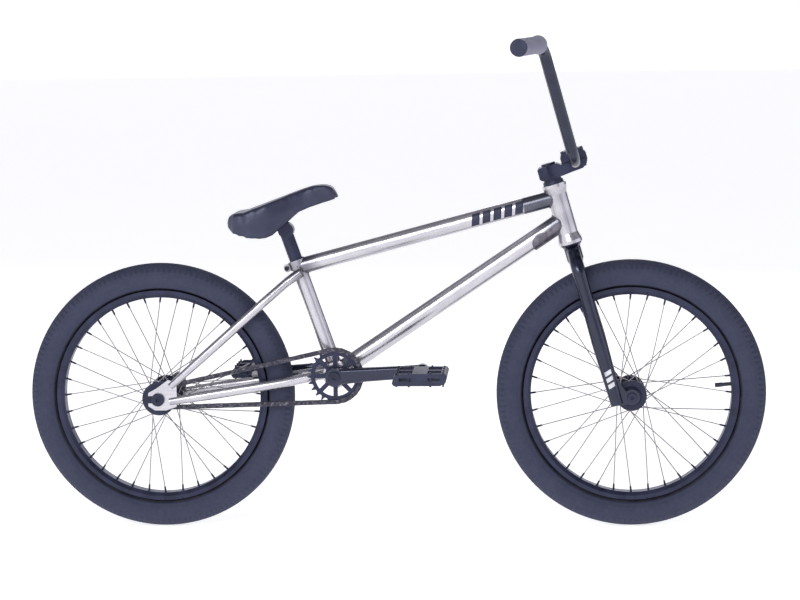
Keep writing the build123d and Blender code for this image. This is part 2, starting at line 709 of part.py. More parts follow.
def make_hub_shell(centre, right, left, barrel, bore, seat_radius, ends):
    """Hub body with two drilled flanges and a bearing seat at each end."""
    low_end, high_end = ends
    flange_r = FLANGE_HOLE_R + 3.0
    half = FLANGE_THICK / 2
    profile = [
        (low_end, bore),
        (low_end, seat_radius + 3),
        (right - half - 1.5, seat_radius + 3),
        (right - half, FLANGE_HOLE_R - 4),
        (right - half, flange_r),
        (right + half, flange_r),
        (right + half, FLANGE_HOLE_R - 5),
        (right + half + 4, barrel),
        (left - half - 4, barrel),
        (left - half, FLANGE_HOLE_R - 5),
        (left - half, flange_r),
        (left + half, flange_r),
        (left + half, FLANGE_HOLE_R - 4),
        (left + half + 1.5, seat_radius + 3),
        (high_end, seat_radius + 3),
        (high_end, bore),
    ]
    shell = turned(profile, Vector(0, 0, 0))
    shell -= disc(Vector(0, 0, 0), low_end - 1, low_end + 8.1, seat_radius)
    shell -= disc(Vector(0, 0, 0), high_end - 8.1, high_end + 1, seat_radius)
    holes = []
    for hole in range(SPOKES_PER_WHEEL // 2):
        for flange, shift in zip((right, left), FLANGE_ANGLES):
            angle = radians(shift + 20.0 * hole)
            spot = Vector(FLANGE_HOLE_R * sin(angle), flange, FLANGE_HOLE_R * cos(angle))
            holes.append(rod(spot - SIDE * 3.5, spot + SIDE * 3.5, 1.25))
    shell = shell - holes
    return Pos(centre.X, 0, centre.Z) * shell


def make_hub_bearings(centre, ends, outer, inner):
    low_end, high_end = ends
    low = disc(centre, low_end, low_end + 8, outer, inner)
    high = disc(centre, high_end - 8, high_end, outer, inner)
    return group([low, high])


# ---------------------------------------------------------------- drivetrain
ROLLER_SEAT_R = 4.15
TOOTH_MOUTH_HALF = 8.3
# distance from the crank axle, inner face, outer face and height
CRANK_ARM_SECTIONS = ((0, 47, 68, 31), (60, 50.5, 70, 27), (130, 62, 79, 25), (170, 66, 83, 25))


def pitch_radius(teeth):
    return CHAIN_PITCH / 2 / sin(pi / teeth)


def toothed_blank(teeth, turn):
    """Sprocket outline in its own plane: a rounded seat for each roller and a tooth between."""
    radius = pitch_radius(teeth)
    blank = Circle(radius + (3.6 if teeth > 12 else 2.1))
    for tooth in range(teeth):
        angle = turn + 2 * pi * tooth / teeth
        seat = Pos(radius * cos(angle), radius * sin(angle)) * Circle(ROLLER_SEAT_R)
        mouth = Polygon(
            (-0.5, -ROLLER_SEAT_R),
            (7, -TOOTH_MOUTH_HALF),
            (7, TOOTH_MOUTH_HALF),
            (-0.5, ROLLER_SEAT_R),
            align=None,
        )
        blank -= seat
        blank -= Pos(radius * cos(angle), radius * sin(angle)) * Rot(0, 0, degrees(angle)) * mouth
    return blank


def chain_layout():
    """Tangent points and angles of the straight chain runs, in (x, z) about the crank axle."""
    dx, dz = REAR_AXLE.X - BB.X, REAR_AXLE.Z - BB.Z
    distance = sqrt(dx * dx + dz * dz)
    big, small = pitch_radius(SPROCKET_TEETH), pitch_radius(DRIVER_TEETH)
    line = atan2(dz, dx)
    spread = acos((big - small) / distance)
    return big, small, line, spread


def sprocket_phase():
    """A roller seat sits where the upper run leaves each sprocket."""
    big, small, line, spread = chain_layout()
    return line - spread


def in_chain_plane(sketch, centre, thickness):
    plane = Plane(origin=(centre.X, CHAIN_LINE + thickness / 2, centre.Z), x_dir=(1, 0, 0), z_dir=(0, -1, 0))
    return extrude(plane * sketch, thickness)


def make_sprocket():
    """Toothed wheel with eight windows, held on the spindle and driven by a bolt to the arm."""
    blank = toothed_blank(SPROCKET_TEETH, sprocket_phase())
    plate = blank - Circle(9.55)
    ring = Circle(39.5) - Circle(20.5)
    for spoke in range(8):
        angle = pi / 2 + spoke * pi / 4
        ring -= Pos(30 * cos(angle), 30 * sin(angle)) * Rot(0, 0, degrees(angle)) * Rectangle(30, 8.5)
    plate -= ring
    return in_chain_plane(plate, BB, 3.2)


def make_driver():
    """Small cog and the sleeve that carries it, free to turn on the rear axle."""
    cog = in_chain_plane(toothed_blank(DRIVER_TEETH, sprocket_phase()), REAR_AXLE, 3.2)
    sleeve = disc(REAR_AXLE, -48.5, -38.2, 12.0)
    return cog + sleeve - disc(REAR_AXLE, -60, -30, 7.0 + RUNNING_GAP)


def chain_points():
    """Pin centres around the loop: over the sprocket, along each run and around the driver."""
    big, small, line, spread = chain_layout()
    upper = line - spread
    top_big = Vector(BB.X + big * cos(upper), 0, BB.Z + big * sin(upper))
    top_small = Vector(REAR_AXLE.X + small * cos(upper), 0, REAR_AXLE.Z + small * sin(upper))
    run = round((top_small - top_big).length / CHAIN_PITCH)
    points = [top_big + (top_small - top_big) * (i / run) for i in range(run + 1)]
    step_small = 2 * pi / DRIVER_TEETH
    wrap_small = int((2 * spread) / step_small)
    for i in range(1, wrap_small + 1):
        turn = upper + step_small * i
        points.append(REAR_AXLE + Vector(small * cos(turn), 0, small * sin(turn)))
    step_big = 2 * pi / SPROCKET_TEETH
    wrap_big = int((2 * pi - 2 * spread) / step_big)
    over = [
        Vector(BB.X + big * cos(upper - step_big * i), 0, BB.Z + big * sin(upper - step_big * i))
        for i in range(1, wrap_big + 1)
    ]
    last_small, last_big = points[-1], over[-1]
    gap = round((last_big - last_small).length / CHAIN_PITCH)
    points += [last_small + (last_big - last_small) * (i / gap) for i in range(1, gap)]
    return points + over[::-1]


def link_plate(start, end, low, high):
    along = (end - start).normalized()
    middle = (start + end) / 2
    plane = Plane(origin=Vector(middle.X, low, middle.Z), x_dir=along, z_dir=SIDE)
    sketch = SlotCenterToCenter((end - start).length, 8.2)
    return extrude(plane * sketch, high - low)


def make_chain():
    """Roller chain: each link is two plates with its rollers and pins, inner and outer in turn."""
    points = chain_points()
    links = []
    count = len(points)
    for i, start in enumerate(points):
        end = points[(i + 1) % count]
        near, far = (2.0, 3.1) if i % 2 else (3.2, 4.3)
        link = link_plate(start, end, CHAIN_LINE + near, CHAIN_LINE + far)
        link += link_plate(start, end, CHAIN_LINE - far, CHAIN_LINE - near)
        for pin in (start, end):
            if i % 2:
                link += disc(pin, CHAIN_LINE - 2.1, CHAIN_LINE + 2.1, 3.7)
                link -= disc(pin, CHAIN_LINE - 6, CHAIN_LINE + 6, 1.9)
            else:
                link += disc(pin, CHAIN_LINE - 4.8, CHAIN_LINE + 4.8, 1.8)
        links.append(link)
    return group(links)


def crank_point(reach, side, left=False):
    sign = -1 if left else 1
    angle = radians(CRANK_ANGLE)
    return BB + Vector(sign * reach * cos(angle), 0, sign * reach * sin(angle)) + SIDE * side


def make_spindle():
    spindle = disc(BB, -68, 68, 9.5)
    return spindle - disc(BB, -70, 70, 5.5)


def make_crank_arm(left):
    """Arm that tapers from a round boss to the pedal's eye and leans outward."""
    sign = -1 if left else 1
    angle = radians(CRANK_ANGLE)
    out = Vector(sign * cos(angle), 0, sign * sin(angle))
    face_y = 1 if left else -1
    sections = []
    for reach, inner, outer, height in CRANK_ARM_SECTIONS:
        middle = BB + out * reach + SIDE * face_y * (inner + outer) / 2
        plane = Plane(origin=middle, x_dir=SIDE, z_dir=out)
        sections.append(plane * RectangleRounded(outer - inner, height, 6.5))
    arm = loft(sections, ruled=True)
    low, high = sorted((face_y * 46.6, face_y * 69))
    arm += disc(BB, low, high, 17.5)
    eye = BB + out * CRANK_LENGTH
    low, high = sorted((face_y * 66, face_y * 83))
    arm += disc(eye, low, high, 14.0)
    arm -= disc(BB, -90, 90, 9.55)
    arm -= disc(eye, -90, 90, 7.2)
    return arm


def make_crank_bolts():
    face = 69.0
    bolt = disc(BB, face, face + 3.5, 12.0) + disc(BB, face - 22, face, 5.4)
    bolt = chamfer(bolt.edges().group_by(Axis.Y)[-1], 1.2)
    bolt -= Pos(BB.X, face + 0.5, BB.Z) * Rot(-90, 0, 0) * extrude(RegularPolygon(4.6, 6), 4)
    return both(bolt)


def make_bb_spacers():
    """Sleeve between the bearings and a spacer outside each of them."""
    sleeve = disc(BB, -BB_HALF_WIDTH + 12.4, BB_HALF_WIDTH - 12.4, 12.2, 9.55)
    right = disc(BB, CHAIN_LINE + 1.7, -BB_HALF_WIDTH - 0.3, 13.0, 9.55)
    left = disc(BB, BB_HALF_WIDTH + 0.3, 46.5, 13.0, 9.55)
    return group([sleeve, right, left])


PEDAL_INNER = 91.0
PEDAL_OUTER = 187.0
PEDAL_LENGTH = 100.0
PEDAL_HEIGHT = 23.0
PEDAL_SLANT = 3.0


def make_pedal_spindles():
    def spindle(left):
        sign = 1 if left else -1
        centre = crank_point(CRANK_LENGTH, 0, left)
        low, high = sorted((sign * 66.0, sign * 88.0))
        body = disc(centre, low, high, 7.15)
        low, high = sorted((sign * 84.0, sign * 89.0))
        body += disc(centre, low, high, 9.0)
        low, high = sorted((sign * 88.0, sign * (PEDAL_OUTER - 12)))
        return body + disc(centre, low, high, 5.0)

    return group([spindle(False), spindle(True)])


def pedal_box(centre, ahead, side, height, at_x, at_y):
    return Pos(centre.X + at_x, at_y, centre.Z) * Box(ahead, side, height)


def make_pedal(left):
    """Moulded platform: a spindle barrel inside a frame with four windows, and pins on both faces."""
    sign = 1 if left else -1
    centre = crank_point(CRANK_LENGTH, 0, left)
    middle = sign * (PEDAL_INNER + PEDAL_OUTER) / 2
    width = PEDAL_OUTER - PEDAL_INNER
    half = PEDAL_LENGTH / 2
    top = PEDAL_HEIGHT / 2
    outline = [
        (-half, -top + 5),
        (-half + 5, -top),
        (half - 9, -top),
        (half, -top + 6),
        (half, top - 5),
        (half - 5, top),
        (-half + 9, top),
        (-half, top - 6),
    ]
    slanted = [(centre.X + x + PEDAL_SLANT * z / top, centre.Z + z) for x, z in outline]
    low = middle - width / 2
    body = side_plate(slanted, low, low + width)
    windows = [(ahead, side) for ahead in (-27, 27) for side in (-23, 23)]
    for ahead, side in windows:
        body -= pedal_box(centre, 26, 38, 40, ahead, middle + side)
    for ahead in (-27, 27):
        body -= pedal_box(centre, 24, width + 10, 7, ahead, middle)
    body += disc(centre, low, low + width, 10.5)
    pins = [(ahead, side) for ahead in (-43.5, 43.5) for side in (-40, -13, 13, 40)]
    pins += [(ahead, side) for ahead in (-20, 20) for side in (-45, 45)]
    for ahead, side in pins:
        place = Pos(centre.X + ahead, middle + side, centre.Z)
        body += place * Cylinder(1.9, PEDAL_HEIGHT + 4.4)
    low, high = sorted((sign * (PEDAL_INNER - 1), sign * (PEDAL_OUTER - 11)))
    body -= disc(centre, low, high, 5.0 + RUNNING_GAP)
    return body


# ---------------------------------------------------------------- seat
PIVOT_ALONG = 294.0
PIVOT_AHEAD = 2.0
PIVOT_R = 15.0
SEAT_PIVOT = on_seat(PIVOT_ALONG, PIVOT_AHEAD)


def make_seat_post():
    """Post with a rounded head, on which the seat tilts."""
    post = rod(on_seat(118), on_seat(PIVOT_ALONG - 6), SEAT_POST_R)
    post -= rod(on_seat(117), on_seat(PIVOT_ALONG - 26), SEAT_POST_R - 2.0)
    head = rod(SEAT_PIVOT - SIDE * 12.5, SEAT_PIVOT + SIDE * 12.5, PIVOT_R)
    post += head
    post -= rod(SEAT_PIVOT - SEAT_UP * 12, SEAT_PIVOT + SEAT_UP * 30, 4.05)
    return post


def make_seat_pivot_bolt():
    """Bolt through the seat's slot into the head of the post."""
    bolt = rod(SEAT_PIVOT - SEAT_UP * 10, SEAT_PIVOT + SEAT_UP * 20.6, 4.0)
    return bolt + rod(SEAT_PIVOT + SEAT_UP * 20.6, SEAT_PIVOT + SEAT_UP * 26, 6.5)


COVER_THICK = 6.0
BASE_WALL = 3.0
# seat outlines as (x, z) points, and the plan's as (x, y)
SEAT_ROOF = [(-330, 589), (-302, 592), (-262, 597), (-228, 606)]
SEAT_ROOF += [(-196, 618), (-160, 632), (-125, 643), (-100, 650)]
SEAT_TOP_LINE = [(-312, 600), (-309, 610), (-300, 614), (-280, 617)]
SEAT_TOP_LINE += [(-247.5, 629), (-215, 641.5), (-183, 654), (-150, 665)]
SEAT_TOP_LINE += [(-131, 667), (-118.5, 662.5), (-107, 643)]
SEAT_LOW_LINE = [(-109, 640), (-135, 632.5), (-159, 624.7), (-180, 616)]
SEAT_LOW_LINE += [(-196, 603), (-208, 592), (-228, 574)]
SEAT_LOW_LINE += [(-240, 569.5), (-252, 568), (-275, 571), (-298, 578), (-309, 587)]
SEAT_PLAN = [(-313, 0), (-310, 40), (-296, 58), (-270, 65), (-238, 61)]
SEAT_PLAN += [(-205, 44), (-172, 29), (-140, 23), (-116, 19)]
SEAT_PLAN += [(-106, 8), (-105.8, 0)]


def seat_prism(line, low=-80.0):
    """Prism across the bike from an (x, z) outline."""
    plane = Plane(origin=(0, low, 0), x_dir=(1, 0, 0), z_dir=(0, -1, 0))
    return extrude(plane * Polygon(*line, align=None), -2 * low, dir=(0, 1, 0))


def seat_plan(shrink=0.0):
    """Upright prism of the seat's plan view, made smaller by shrink all round."""
    points = SEAT_PLAN + [(x, -y) for x, y in reversed(SEAT_PLAN[1:-1])]
    outline = make_face(Polyline(*points, close=True))
    if shrink:
        outline = offset(outline, -shrink, kind=Kind.INTERSECTION)
    return extrude(Pos(0, 0, 540) * outline, 160, dir=(0, 0, 1))


def seat_block():
    """Padded outline: the side view and the plan view of the seat, cut into each other."""
    return seat_prism(SEAT_TOP_LINE + SEAT_LOW_LINE) & seat_plan()


def base_room(shrink, drop):
    """Space under the padding, which the seat base lies in; drop lowers its roof."""
    line = [(x, z - drop) for x, z in SEAT_ROOF]
    return seat_prism([(SEAT_ROOF[0][0], 500)] + line + [(SEAT_ROOF[-1][0], 500)]) & seat_plan(shrink)


def bolt_room():
    """Clear space around the bolt head for the seat's tilt."""
    plane = Plane(origin=SEAT_PIVOT, x_dir=SEAT_AHEAD, z_dir=SEAT_UP)
    return plane * Pos(0, 0, 26) * Box(24, 18, 11.4)


def post_room():
    """Space for the post under the seat through its whole tilt."""
    return cone(SEAT_PIVOT, SEAT_PIVOT - SEAT_UP * 60, SEAT_POST_R + 1.2, SEAT_POST_R + 11)


def make_seat_cushion():
    return seat_block() - base_room(COVER_THICK, 0) - bolt_room()


def make_seat_base():
    """Plastic shell under the padding, with a cradle that sits on the post's head."""
    shell = (seat_block() & base_room(COVER_THICK, 0)) - base_room(COVER_THICK + BASE_WALL, BASE_WALL)
    cradle = Plane(origin=SEAT_PIVOT, x_dir=SEAT_AHEAD, z_dir=SEAT_UP)
    shell += (cradle * Pos(0, 0, 12) * Box(34, 34, 22)) & base_room(COVER_THICK, 0)
    shell -= rod(SEAT_PIVOT - SIDE * 14, SEAT_PIVOT + SIDE * 14, PIVOT_R + RUNNING_GAP)
    shell -= post_room()
    shell -= cradle * Pos(0, 0, 20) * Box(16, 9, 14)
    shell -= bolt_room()
    return max(shell.solids(), key=lambda part: part.volume)


# ---------------------------------------------------------------- all sub-parts


def make_parts():
    return {
        "head_tube": make_head_tube(),
        "top_tube": make_top_tube(),
        "down_tube": make_down_tube(),
        "down_tube_gusset": make_down_tube_gusset(),
        "seat_tube": make_seat_tube(),
        "seat_clamp_bolt": make_seat_clamp_bolt(),
        "bottom_bracket_shell": make_bb_shell(),
        "chain_stays": make_chain_stays(),
        "seat_stays": make_seat_stays(),
        "rear_dropouts": make_rear_dropouts(),
        "headset_bearings": make_headset_bearings(),
        "bottom_bracket_bearings": make_bb_bearings(),
        "rear_axle": make_rear_axle(),
        "rear_axle_bolts": make_axle_bolts(REAR_AXLE, REAR_DROPOUT_GAP, 20, 12.5, 7.0, 3.95),
        "rear_hub_guards": make_rear_hub_guards(),
        "fork_steerer": make_fork_steerer(),
        "fork_legs": make_fork_legs(),
        "fork_dropouts": make_fork_dropouts(),
        "headset_top_cap": make_headset_top_cap(),
        "fork_top_bolt": make_fork_top_bolt(),
        "stem_body": make_stem_body(),
        "stem_cap": make_stem_cap(),
        "stem_bolts": make_stem_bolts(),
        "front_axle": make_front_axle(),
        "front_axle_bolts": make_axle_bolts(FRONT_AXLE, FRONT_DROPOUT_GAP, 16, 9.5, 4.5, 2.95),
        "front_hub_guards": make_front_hub_guards(),
        "handlebar": make_handlebar(),
        "handlebar_crossbar": make_crossbar(),
        "grip_left": make_grip(),
        "grip_right": mirrored(make_grip()),
        "bar_end_plugs": make_bar_end_plugs(),
        "front_tyre": make_tyre(FRONT_AXLE),
        "front_inner_tube": make_inner_tube(FRONT_AXLE, VALVE_ANGLE),
        "front_rim": make_rim(FRONT_AXLE, *FRONT_FLANGES, VALVE_ANGLE),
        "front_spokes": make_spokes(FRONT_AXLE, *FRONT_FLANGES),
        "front_nipples": make_nipples(FRONT_AXLE, *FRONT_FLANGES),
        "front_hub_shell": make_hub_shell(FRONT_AXLE, *FRONT_FLANGES, 14, 6.5, 12.05, FRONT_HUB_ENDS),
        "front_hub_bearings": make_hub_bearings(FRONT_AXLE, FRONT_HUB_ENDS, 12.0, 5.05),
        "rear_tyre": make_tyre(REAR_AXLE),
        "rear_inner_tube": make_inner_tube(REAR_AXLE, VALVE_ANGLE),
        "rear_rim": make_rim(REAR_AXLE, *REAR_FLANGES, VALVE_ANGLE),
        "rear_spokes": make_spokes(REAR_AXLE, *REAR_FLANGES),
        "rear_nipples": make_nipples(REAR_AXLE, *REAR_FLANGES),
        "rear_hub_shell": make_hub_shell(REAR_AXLE, *REAR_FLANGES, 18, 8.5, 15.05, REAR_HUB_ENDS),
        "rear_hub_bearings": make_hub_bearings(REAR_AXLE, REAR_HUB_ENDS, 15.0, 7.05),
        "rear_driver": make_driver(),
        "sprocket": make_sprocket(),
        "chain": make_chain(),
        "crank_spindle": make_spindle(),
        "crank_arm_right": make_crank_arm(False),
        "crank_arm_left": make_crank_arm(True),
        "crank_bolts": make_crank_bolts(),
        "bottom_bracket_spacers": make_bb_spacers(),
        "pedal_spindles": make_pedal_spindles(),
        "pedal_right": make_pedal(False),
        "pedal_left": make_pedal(True),
        "seat_post": make_seat_post(),
        "seat_pivot_bolt": make_seat_pivot_bolt(),
        "seat_base": make_seat_base(),
        "seat_cushion": make_seat_cushion(),
    }


os.makedirs("parts", exist_ok=True)
for name, part in make_parts().items():
    export_step(part, f"parts/{name}.step")
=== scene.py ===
import math

import bpy
import numpy as np
from mathutils import Matrix, Vector
from mathutils.bvhtree import BVHTree


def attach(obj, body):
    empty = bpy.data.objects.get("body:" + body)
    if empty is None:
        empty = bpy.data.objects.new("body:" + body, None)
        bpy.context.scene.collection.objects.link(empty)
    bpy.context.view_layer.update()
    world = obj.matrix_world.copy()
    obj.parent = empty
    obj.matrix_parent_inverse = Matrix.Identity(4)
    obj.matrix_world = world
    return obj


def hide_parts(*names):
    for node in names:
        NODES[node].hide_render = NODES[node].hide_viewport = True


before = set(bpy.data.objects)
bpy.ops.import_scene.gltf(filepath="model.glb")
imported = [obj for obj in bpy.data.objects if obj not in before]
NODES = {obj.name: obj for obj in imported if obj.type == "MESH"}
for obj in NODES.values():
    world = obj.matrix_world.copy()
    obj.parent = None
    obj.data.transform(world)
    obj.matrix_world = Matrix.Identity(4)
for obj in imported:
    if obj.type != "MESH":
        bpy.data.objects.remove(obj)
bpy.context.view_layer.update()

# BMX bike in metres: +X forward, +Y to the rider's left, +Z up. The drive side is -Y.
SIDE = Vector((0, 1, 0))
FRONT_AXLE = Vector((0.455, 0, 0.259))
REAR_AXLE = Vector((-0.455, 0, 0.259))
CRANK_AXLE = Vector((-0.1125, 0, 0.3014))
STEER_FOOT = Vector((0.42516, 0, 0.25061))
STEER_UP = Vector((-0.2706, 0, 0.9627))
SEAT_UP = Vector((-0.3272, 0, 0.9449))
TOP_TUBE_FRONT = Vector((0.3161, 0, 0.63858))
TOP_TUBE_REAR = Vector((-0.18416, 0, 0.50834))
DOWN_TUBE_FRONT = Vector((0.32809, 0, 0.59593))
TOP_TUBE_R, DOWN_TUBE_R, SEAT_TUBE_R, HEAD_TUBE_R = 0.0159, 0.0175, 0.0143, 0.0194
CHAIN_STAY_R, SEAT_STAY_R, CRANK_SHELL_R = 0.0093, 0.0086, 0.025
GRIP_LENGTH = 0.146
BAR_END = Vector((0.24714, 0.363, 0.92458))
BAR_CORNER = Vector((0.28727, 0.192, 0.92963))
LEG_SIDE, LEG_FOOT_R, LEG_MIDDLE_R, LEG_MIDDLE_ALONG = 0.053, 0.012, 0.0148, 0.118


# ---------------------------------------------------------------- camera, light and floor
CAMERA_PLACE = (0.2719, -4.1369, 0.9382)
CAMERA_YAW, CAMERA_PITCH, CAMERA_ROLL = -0.0629, 0.1191, -0.0142
CAMERA_LENS, CAMERA_SENSOR = 97.2, 36.0


def make_camera():
    """Camera on the drive side, a little above the bike and looking down on it."""
    yaw, pitch, roll = CAMERA_YAW, CAMERA_PITCH, CAMERA_ROLL
    forward = Vector((
        math.sin(yaw) * math.cos(pitch),
        math.cos(yaw) * math.cos(pitch),
        -math.sin(pitch),
    ))
    level = Vector((math.cos(yaw), -math.sin(yaw), 0))
    upward = level.cross(forward)
    right = level * math.cos(roll) + upward * math.sin(roll)
    up = upward * math.cos(roll) - level * math.sin(roll)
    data = bpy.data.cameras.new("camera")
    data.lens = CAMERA_LENS
    data.sensor_width = CAMERA_SENSOR
    camera = bpy.data.objects.new("camera", data)
    bpy.context.scene.collection.objects.link(camera)
    turn = Matrix((right, up, -forward)).transposed().to_4x4()
    camera.matrix_world = Matrix.Translation(CAMERA_PLACE) @ turn
    bpy.context.scene.camera = camera


def make_softbox(name, place, target, width, height, power):
    data = bpy.data.lights.new(name, "AREA")
    data.shape = "RECTANGLE"
    data.size = width
    data.size_y = height
    data.energy = power
    light = bpy.data.objects.new(name, data)
    light.location = place
    aim = Vector(target) - Vector(place)
    light.rotation_euler = aim.to_track_quat("-Z", "Y").to_euler()
    bpy.context.scene.collection.objects.link(light)


def world_ramp(nodes, links, fac, stops, tint):
    """Colour ramp over the world from (place, brightness) pairs."""
    ramp = nodes.new("ShaderNodeValToRGB")
    set_stops(ramp, [(at, tuple(bright * t for t in tint)) for at, bright in stops])
    links.new(fac, ramp.inputs["Fac"])
    return ramp.outputs["Color"]


def world_mix(nodes, links, kind, first, second):
    """Mix node over the world; its factor is 1 unless it is linked."""
    mix = nodes.new("ShaderNodeMix")
    mix.data_type = "RGBA"
    mix.blend_type = kind
    mix.inputs["Factor"].default_value = 1.0
    for socket, value in ((mix.inputs[6], first), (mix.inputs[7], second)):
        if isinstance(value, tuple):
            socket.default_value = value
        else:
            links.new(value, socket)
    return mix


# Brightness against height (0 level, 1 overhead) and against bearing (0.5 is the drive side,
# 0.75 ahead of the bike, 0 and 1 the far side).
SKY_BY_HEIGHT = ((0.0, 1.0), (0.26, 1.0), (0.4, 0.35), (0.7, 0.12), (1.0, 0.25))
SKY_BY_BEARING = ((0.0, 1.0), (0.09, 1.0), (0.14, 0.45), (0.21, 0.5), (0.26, 1.0), (0.53, 1.0),
                  (0.57, 0.5), (0.62, 0.5), (0.66, 1.0), (0.79, 1.0), (0.84, 0.12),
                  (0.93, 0.12), (0.96, 1.0))
SKY_TINT = (1.0, 1.0, 1.1)
SKY_STRENGTH = 1.25
# Name, place, target, width, height and power.
SOFTBOXES = (
    ("key", (-1.2, -3.8, 2.6), (0, 0, 0.4), 2.6, 1.4, 75),
    ("back", (0.8, 3.4, 2.4), (0, 0, 0.4), 2.4, 1.0, 30),
)


def make_studio():
    """White surround for the camera; the bike is lit by a sky with dark bands and softboxes."""
    world = bpy.data.worlds.new("studio")
    bpy.context.scene.world = world
    world.use_nodes = True
    nodes, links = world.node_tree.nodes, world.node_tree.links
    split = nodes.new("ShaderNodeSeparateXYZ")
    links.new(nodes.new("ShaderNodeTexCoord").outputs["Generated"], split.inputs[0])
    bearing = nodes.new("ShaderNodeMath")
    bearing.operation = "ARCTAN2"
    level = nodes.new("ShaderNodeMath")
    level.operation = "MULTIPLY"
    level.inputs[1].default_value = -1.0
    links.new(split.outputs["Y"], level.inputs[0])
    links.new(split.outputs["X"], bearing.inputs[0])
    links.new(level.outputs[0], bearing.inputs[1])
    turn = nodes.new("ShaderNodeMath")
    turn.operation = "MULTIPLY_ADD"
    turn.inputs[1].default_value = 0.5 / math.pi
    turn.inputs[2].default_value = 0.5
    links.new(bearing.outputs[0], turn.inputs[0])
    height = world_ramp(nodes, links, split.outputs["Z"], SKY_BY_HEIGHT, SKY_TINT)
    round_about = world_ramp(nodes, links, turn.outputs[0], SKY_BY_BEARING, (1.0, 1.0, 1.0))
    sky = world_mix(nodes, links, "MULTIPLY", height, round_about)
    seen = world_mix(nodes, links, "MIX", sky.outputs[2], (1.0, 1.0, 1.0, 1.0))
    links.new(nodes.new("ShaderNodeLightPath").outputs["Is Camera Ray"], seen.inputs["Factor"])
    links.new(seen.outputs[2], nodes["Background"].inputs["Color"])
    nodes["Background"].inputs["Strength"].default_value = SKY_STRENGTH
    bpy.context.scene.view_settings.view_transform = "Standard"
    for softbox in SOFTBOXES:
        make_softbox(*softbox)


FLOOR_GLOW, FLOOR_RADIUS, FLOOR_SIDES = 0.68, 60.0, 96


def make_floor():
    """Round pale floor, wide enough to reach the horizon."""
    rim = [
        (FLOOR_RADIUS * math.cos(a), FLOOR_RADIUS * math.sin(a), 0)
        for a in np.linspace(0, 2 * math.pi, FLOOR_SIDES, endpoint=False)
    ]
    faces = [(0, 1 + i, 1 + (i + 1) % FLOOR_SIDES) for i in range(FLOOR_SIDES)]
    floor = new_object("floor", [(0, 0, 0)] + rim, faces, smooth=False)
    look = Finish("floor_white", roughness=0.9)
    grain = look.noise(3.0, detail=2)
    look.colour(look.ramp(grain, (0.3, (0.9, 0.9, 0.91)), (0.7, (0.93, 0.93, 0.935))))
    look.shader.inputs["Emission Color"].default_value = (1.0, 1.0, 1.0, 1.0)
    look.shader.inputs["Emission Strength"].default_value = FLOOR_GLOW
    floor.data.materials.append(look.material)


# ---------------------------------------------------------------- materials
def set_stops(node, stops):
    """Sets a colour ramp's stops from (place, colour) pairs."""
    elements = node.color_ramp.elements
    while len(elements) < len(stops):
        elements.new(0.5)
    for element, (at, colour) in zip(elements, stops):
        element.position = at
        element.color = (*colour, 1.0)


FIXED_SOCKETS = {
    "coat": "Coat Weight",
    "coat_roughness": "Coat Roughness",
    "specular": "Specular IOR Level",
    "gloss_tint": "Specular Tint",
}
COOL_GLOSS = (0.7, 0.74, 1.0, 1.0)


